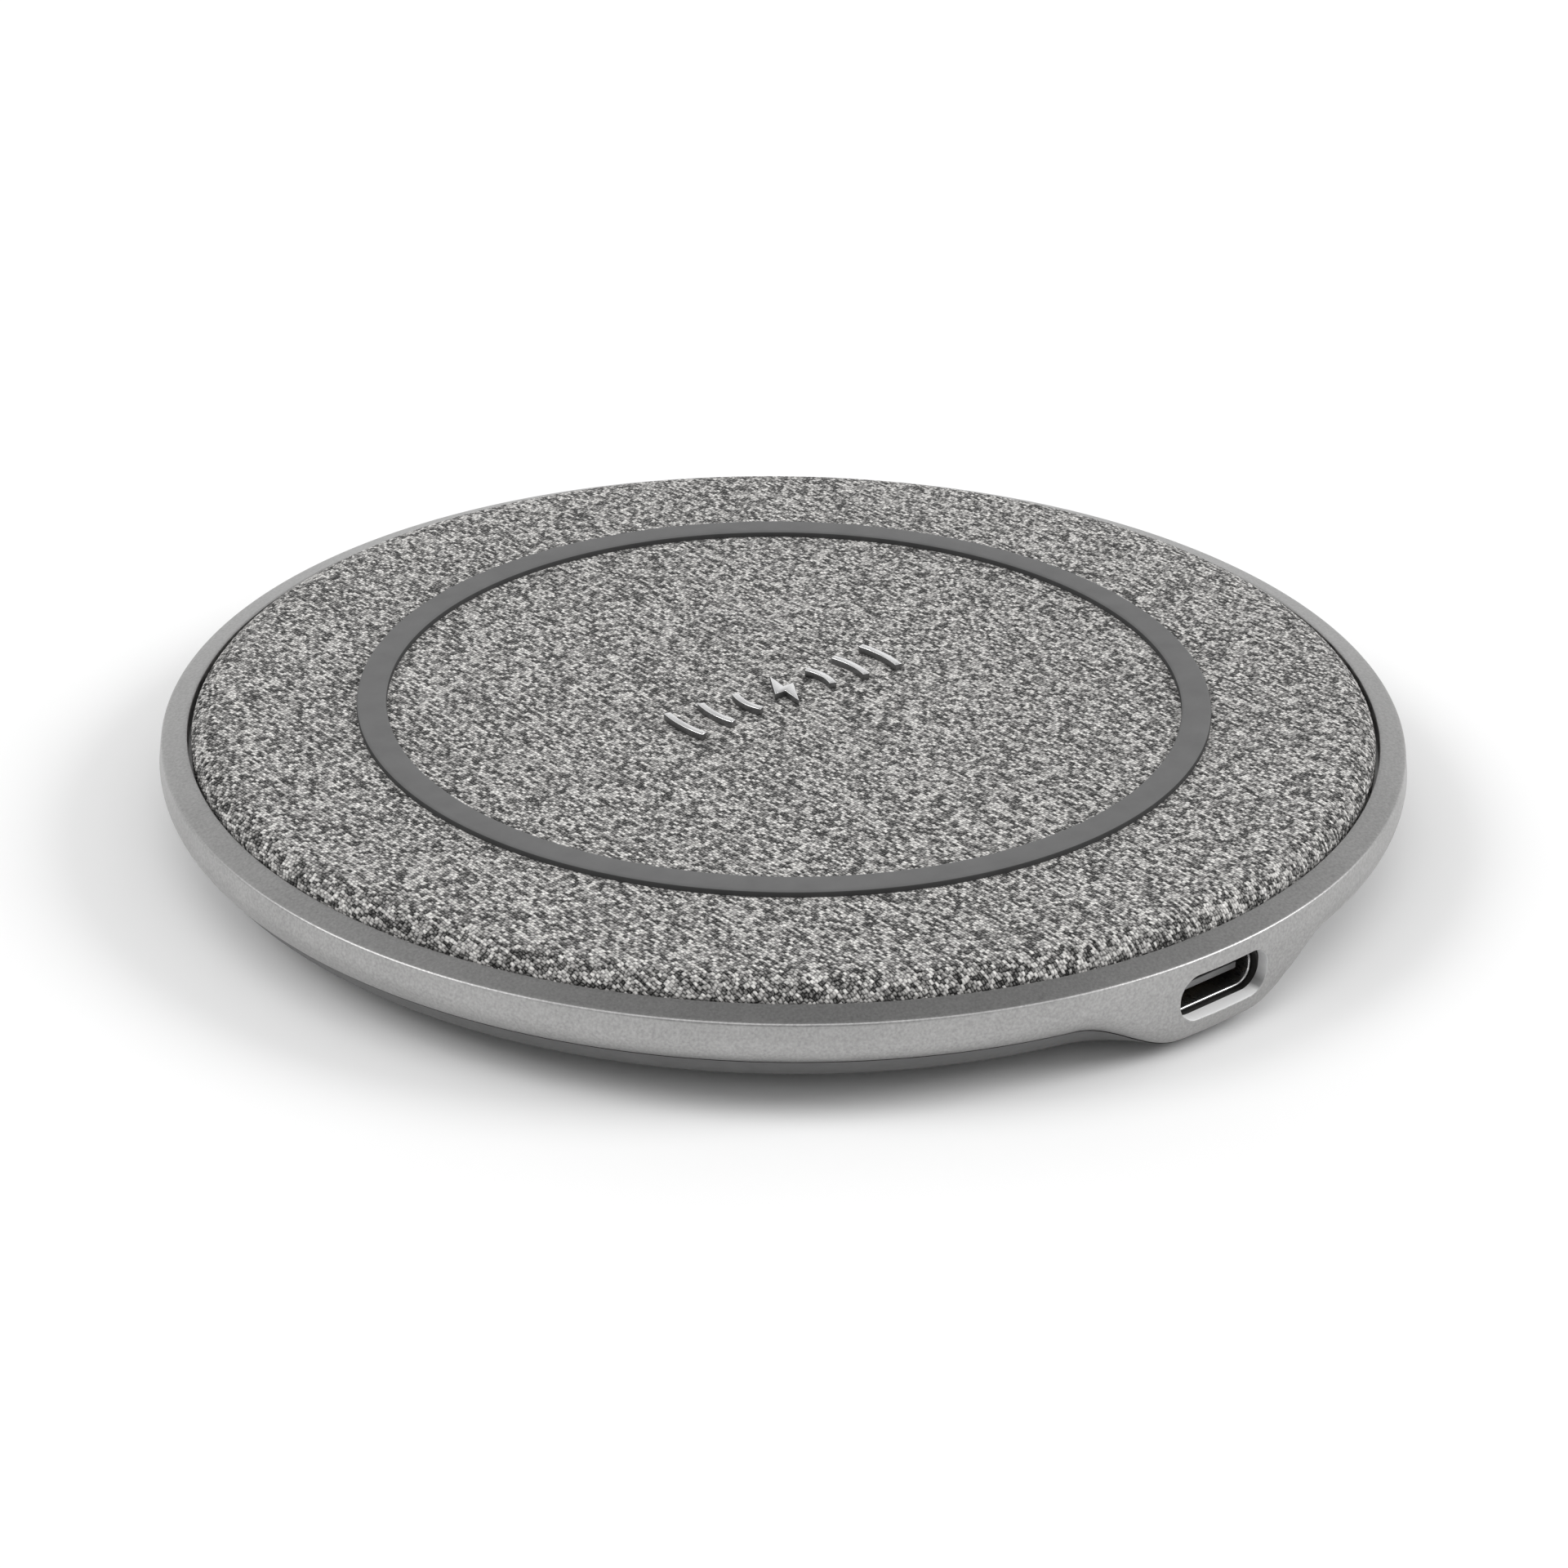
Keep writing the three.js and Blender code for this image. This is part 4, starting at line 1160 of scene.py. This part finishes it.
def raised_shape(name, outline, node):
    """A flat outline raised on the fabric, its top edges rounded and its steep sides in darker
    metal as painted shade.
    """
    low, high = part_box(node)
    bm = bmesh.new()
    face = bm.faces.new([bm.verts.new((x, y, low.z)) for x, y in outline])
    raised = bmesh.ops.extrude_face_region(bm, geom=[face])
    for item in raised["geom"]:
        if isinstance(item, bmesh.types.BMVert):
            item.co.z = high.z
    bmesh.ops.recalc_face_normals(bm, faces=bm.faces)
    piece = object_from(bm, name, ("emblem_metal", "emblem_side_painted_shade"))
    bevel = piece.modifiers.new("bevel", "BEVEL")
    bevel.width = EMBLEM_BEVEL
    bevel.segments = 3
    bevel.limit_method = "ANGLE"
    bevel.angle_limit = math.radians(30)
    apply_modifiers(piece)
    split_by_slope(piece, EMBLEM_SHADED_SIDE_SLOPE)
    shade(piece.data, sharp=40)
    finish_piece(piece, node)


def make_emblem():
    raised_shape("emblem_bolt_mark", [(x * MM, y * MM) for x, y in BOLT_OUTLINE], "emblem_bolt")
    for side, middle in (("right", 0), ("left", math.pi)):
        for i, (radius, degrees) in enumerate(EMBLEM_ARCS):
            half = math.radians(degrees)
            angles = np.linspace(middle - half, middle + half, EMBLEM_ARC_POINTS)
            outline = [polar(radius * MM + EMBLEM_STROKE / 2, a) for a in angles]
            outline += [polar(radius * MM - EMBLEM_STROKE / 2, a) for a in angles[::-1]]
            raised_shape(f"emblem_wave_{side}_{i + 1}", outline, f"emblem_arc_{side}_{i + 1}")


# ---- inlet

INLET_COUNTS = (24, 16, 24, 16)
SHELL_WALL = 0.3 * MM
SHELL_OUTER_CORNER = 1.4 * MM
SHELL_REACH = 0.24 * MM  # how far its lip comes out past the plain CAD shell
SHELL_LIP_STEPS = 6
SHELL_LIP_RING = 1 * MM  # a ring this far behind the lip
INSERT_HOLE = (9.1 * MM, 3.32 * MM, 1.5 * MM)
INSERT_CORNER = 0.3 * MM
INSERT_CHAMFER = 0.08 * MM
TONGUE_THICKNESS = 0.7 * MM
TONGUE_WIDTH = 6.69 * MM
TONGUE_SET_BACK = 0.05 * MM
TONGUE_BEVEL = 0.04 * MM
TONGUE_ROOT_Y = -42.3 * MM
TONGUE_INTO_ROOT = 0.4 * MM
TONGUE_ROOT_BEVEL = 0.25 * MM
TONGUE_TIP = 0.14 * MM  # length of the thinner nose in front
TONGUE_TIP_THICKNESS = 0.52 * MM
TONGUE_TIP_BEVEL = 0.06 * MM
PAD_COUNT = 12
PAD_PITCH = 0.5 * MM
PAD_WIDTH = 0.25 * MM
PAD_START = 1 * MM
LONG_PADS = (0, 3, 8, 11)
LONG_PAD_START = 0.75 * MM
PAD_PROUD = 0.02 * MM
PAD_BEVEL = 0.008 * MM
TONGUE_LOOKS = ("tongue_plastic", "contact_gold", "tongue_tip")


def inlet_loop(size, y, grow=0, middle_z=INLET_Z):
    """A rounded rectangle of that width, height and corner radius, standing at y."""
    outline = rounded_outline(*size, INLET_COUNTS, grow)
    return [(x, y, z + middle_z) for x, z in outline[:, :2]]


def make_shell():
    """The receptacle's drawn steel shell, with its front lip rounded over."""
    size = (shell_high.x - shell_low.x, shell_high.z - shell_low.z, SHELL_OUTER_CORNER)
    front, rear = shell_low.y - SHELL_REACH, shell_high.y
    lip = SHELL_WALL / 2
    section = [(0, rear), (0, front + SHELL_LIP_RING), (0, front + lip)]
    for step in range(1, SHELL_LIP_STEPS + 1):
        angle = math.pi * step / SHELL_LIP_STEPS
        section.append((-lip * (1 - math.cos(angle)), front + lip - lip * math.sin(angle)))
    section += [(-SHELL_WALL, front + SHELL_LIP_RING), (-SHELL_WALL, rear)]
    rings = [inlet_loop(size, y, grow) for grow, y in section]
    piece = skinned("inlet_shell", rings, ["shell_steel"], closed=True)
    finish_piece(piece, "usb_c_shell")


def make_insert():
    """The black insert behind the frame's slot, its hole clearing the shell."""
    front, rear = insert_low.y, insert_high.y
    size = (insert_high.x - insert_low.x, insert_high.z - insert_low.z, INSERT_CORNER)
    middle = (insert_high.z + insert_low.z) / 2
    rings = [
        inlet_loop(size, rear, middle_z=middle),
        inlet_loop(size, front, middle_z=middle),
        inlet_loop(INSERT_HOLE, front, INSERT_CHAMFER),
        inlet_loop(INSERT_HOLE, front + INSERT_CHAMFER),
        inlet_loop(INSERT_HOLE, rear),
    ]
    piece = skinned("inlet_surround", rings, ["black_plastic"], closed=True)
    finish_piece(piece, "inlet_insert")


def block(bm, low, high, bevel, look):
    """A bevelled block added to a bmesh, in one of the tongue's looks."""
    vertices = add_box(bm, low, high)
    edges = list({edge for vertex in vertices for edge in vertex.link_edges})
    result = bmesh.ops.bevel(bm, geom=edges, offset=bevel, segments=2, affect="EDGES", profile=0.5)
    for face in {face for vertex in result["verts"] for face in vertex.link_faces}:
        face.material_index = TONGUE_LOOKS.index(look)


def make_tongue():
    """The contact tongue with its gold pads on both faces, on the insulator behind it."""
    bm = bmesh.new()
    tip = tongue_low.y + TONGUE_SET_BACK
    tip_end = tip + TONGUE_TIP
    inner_end = TONGUE_ROOT_Y + TONGUE_INTO_ROOT

    def slab(x, width, front, rear, z, thickness, *bevel_and_look):
        low = (x - width / 2, front, z - thickness / 2)
        block(bm, low, (x + width / 2, rear, z + thickness / 2), *bevel_and_look)

    # the nose in lighter grey, painted light on the tongue's tip
    slab(
        0, TONGUE_WIDTH, tip, tip_end, INLET_Z, TONGUE_TIP_THICKNESS,
        TONGUE_TIP_BEVEL, "tongue_tip",
    )
    slab(
        0, TONGUE_WIDTH, tip_end - TONGUE_TIP_BEVEL, inner_end, INLET_Z, TONGUE_THICKNESS,
        TONGUE_BEVEL, "tongue_plastic",
    )
    root_low = (tongue_low.x, TONGUE_ROOT_Y, tongue_low.z)
    block(bm, root_low, tongue_high, TONGUE_ROOT_BEVEL, "tongue_plastic")
    for z in (INLET_Z - TONGUE_THICKNESS / 2, INLET_Z + TONGUE_THICKNESS / 2):
        for i in range(PAD_COUNT):
            x = (i - (PAD_COUNT - 1) / 2) * PAD_PITCH
            start = tip + (LONG_PAD_START if i in LONG_PADS else PAD_START)
            slab(x, PAD_WIDTH, start, TONGUE_ROOT_Y, z, 2 * PAD_PROUD, PAD_BEVEL, "contact_gold")
    piece = object_from(bm, "inlet_tongue", TONGUE_LOOKS)
    shade(piece.data)
    finish_piece(piece, "usb_c_tongue")


# ---- stage and light

FLOOR_Z = -0.02 * MM  # just clear of the foot's flat face
FLOOR_REACH = 3.0
FLOOR_CORNERS = ((-1, -1), (1, -1), (1, 1), (-1, 1))


def make_stage():
    floor = new_object("floor", bpy.data.meshes.new("floor"))
    corners = [(x * FLOOR_REACH, y * FLOOR_REACH, FLOOR_Z) for x, y in FLOOR_CORNERS]
    floor.data.from_pydata(corners, [], [(0, 1, 2, 3)])
    look = Look("floor", Roughness=0.9, Specular_IOR_Level=0.0)
    look.colour(look.drift(look.grain(size=50 * MM), low=grey(0.9), high=grey(0.92)))
    floor.data.materials.append(look.material)


TENT_LEVEL = 0.97
# Darker places in the tent: azimuth and elevation of the middle, the angles where each is full
# and where it ends, and the share of the tent's light inside it
TENT_GAPS = (
    (174, 63, 8, 46, 0.04),
    (0, 12, 5, 50, 0.15),
    (-95, 12, 5, 50, 0.45),
    (95, 12, 5, 50, 0.45),
)
# Broad lamps: name, azimuth, elevation and spread in degrees, strength
LAMPS = (
    ("left_light", -86, 42, 28, 0.85),
    ("right_light", 92, 33, 28, 1.25),
    ("top_light", 0, 74, 40, 0.3),
)


def direction_to(azimuth, elevation):
    """Unit direction at degrees round from the camera's side and up from level."""
    turn = CAMERA_AZIMUTH + math.radians(azimuth)
    rise = math.radians(elevation)
    return Vector((
        math.sin(turn) * math.cos(rise), -math.cos(turn) * math.cos(rise), math.sin(rise)
    ))


def add_soft_sun(name, azimuth, elevation, spread, strength):
    lamp = bpy.data.lights.new(name, "SUN")
    lamp.angle = math.radians(spread)
    lamp.energy = strength
    sun = new_object(name, lamp)
    sun.rotation_euler = direction_to(azimuth, elevation).to_track_quat("Z", "Y").to_euler()


def light_scene():
    """An even white tent with gaps high behind the pad and round the camera, and broad lamps."""
    world = bpy.data.worlds.new("studio")
    world.use_nodes = True
    tree = Nodes(world.node_tree)
    direction = tree.node("TexCoord").outputs["Generated"]
    level = TENT_LEVEL
    for azimuth, elevation, full, end, share in TENT_GAPS:
        towards = {0: direction, 1: direction_to(azimuth, elevation)}
        closeness = tree.node("VectorMath", towards, operation="DOT_PRODUCT").outputs["Value"]
        kept = tree.node("MapRange", {
            "Value": tree.math("ARCCOSINE", closeness),
            "From Min": math.radians(full), "From Max": math.radians(end),
            "To Min": share, "To Max": 1,
        })
        level = tree.math("MULTIPLY", kept.outputs["Result"], level)
    background = tree.nodes["Background"]
    tree.feed(background.inputs["Color"], grey(1))
    tree.feed(background.inputs["Strength"], level)
    bpy.context.scene.world = world
    for lamp in LAMPS:
        add_soft_sun(*lamp)
    bpy.context.scene.view_settings.view_transform = "Standard"


# ---- scene

make_looks()
paint_frame_nodes()
make_outer_frame()
make_base()
make_foot()
make_fabric()
make_grip_ring()
make_emblem()
make_shell()
make_insert()
make_tongue()
make_stage()
light_scene()
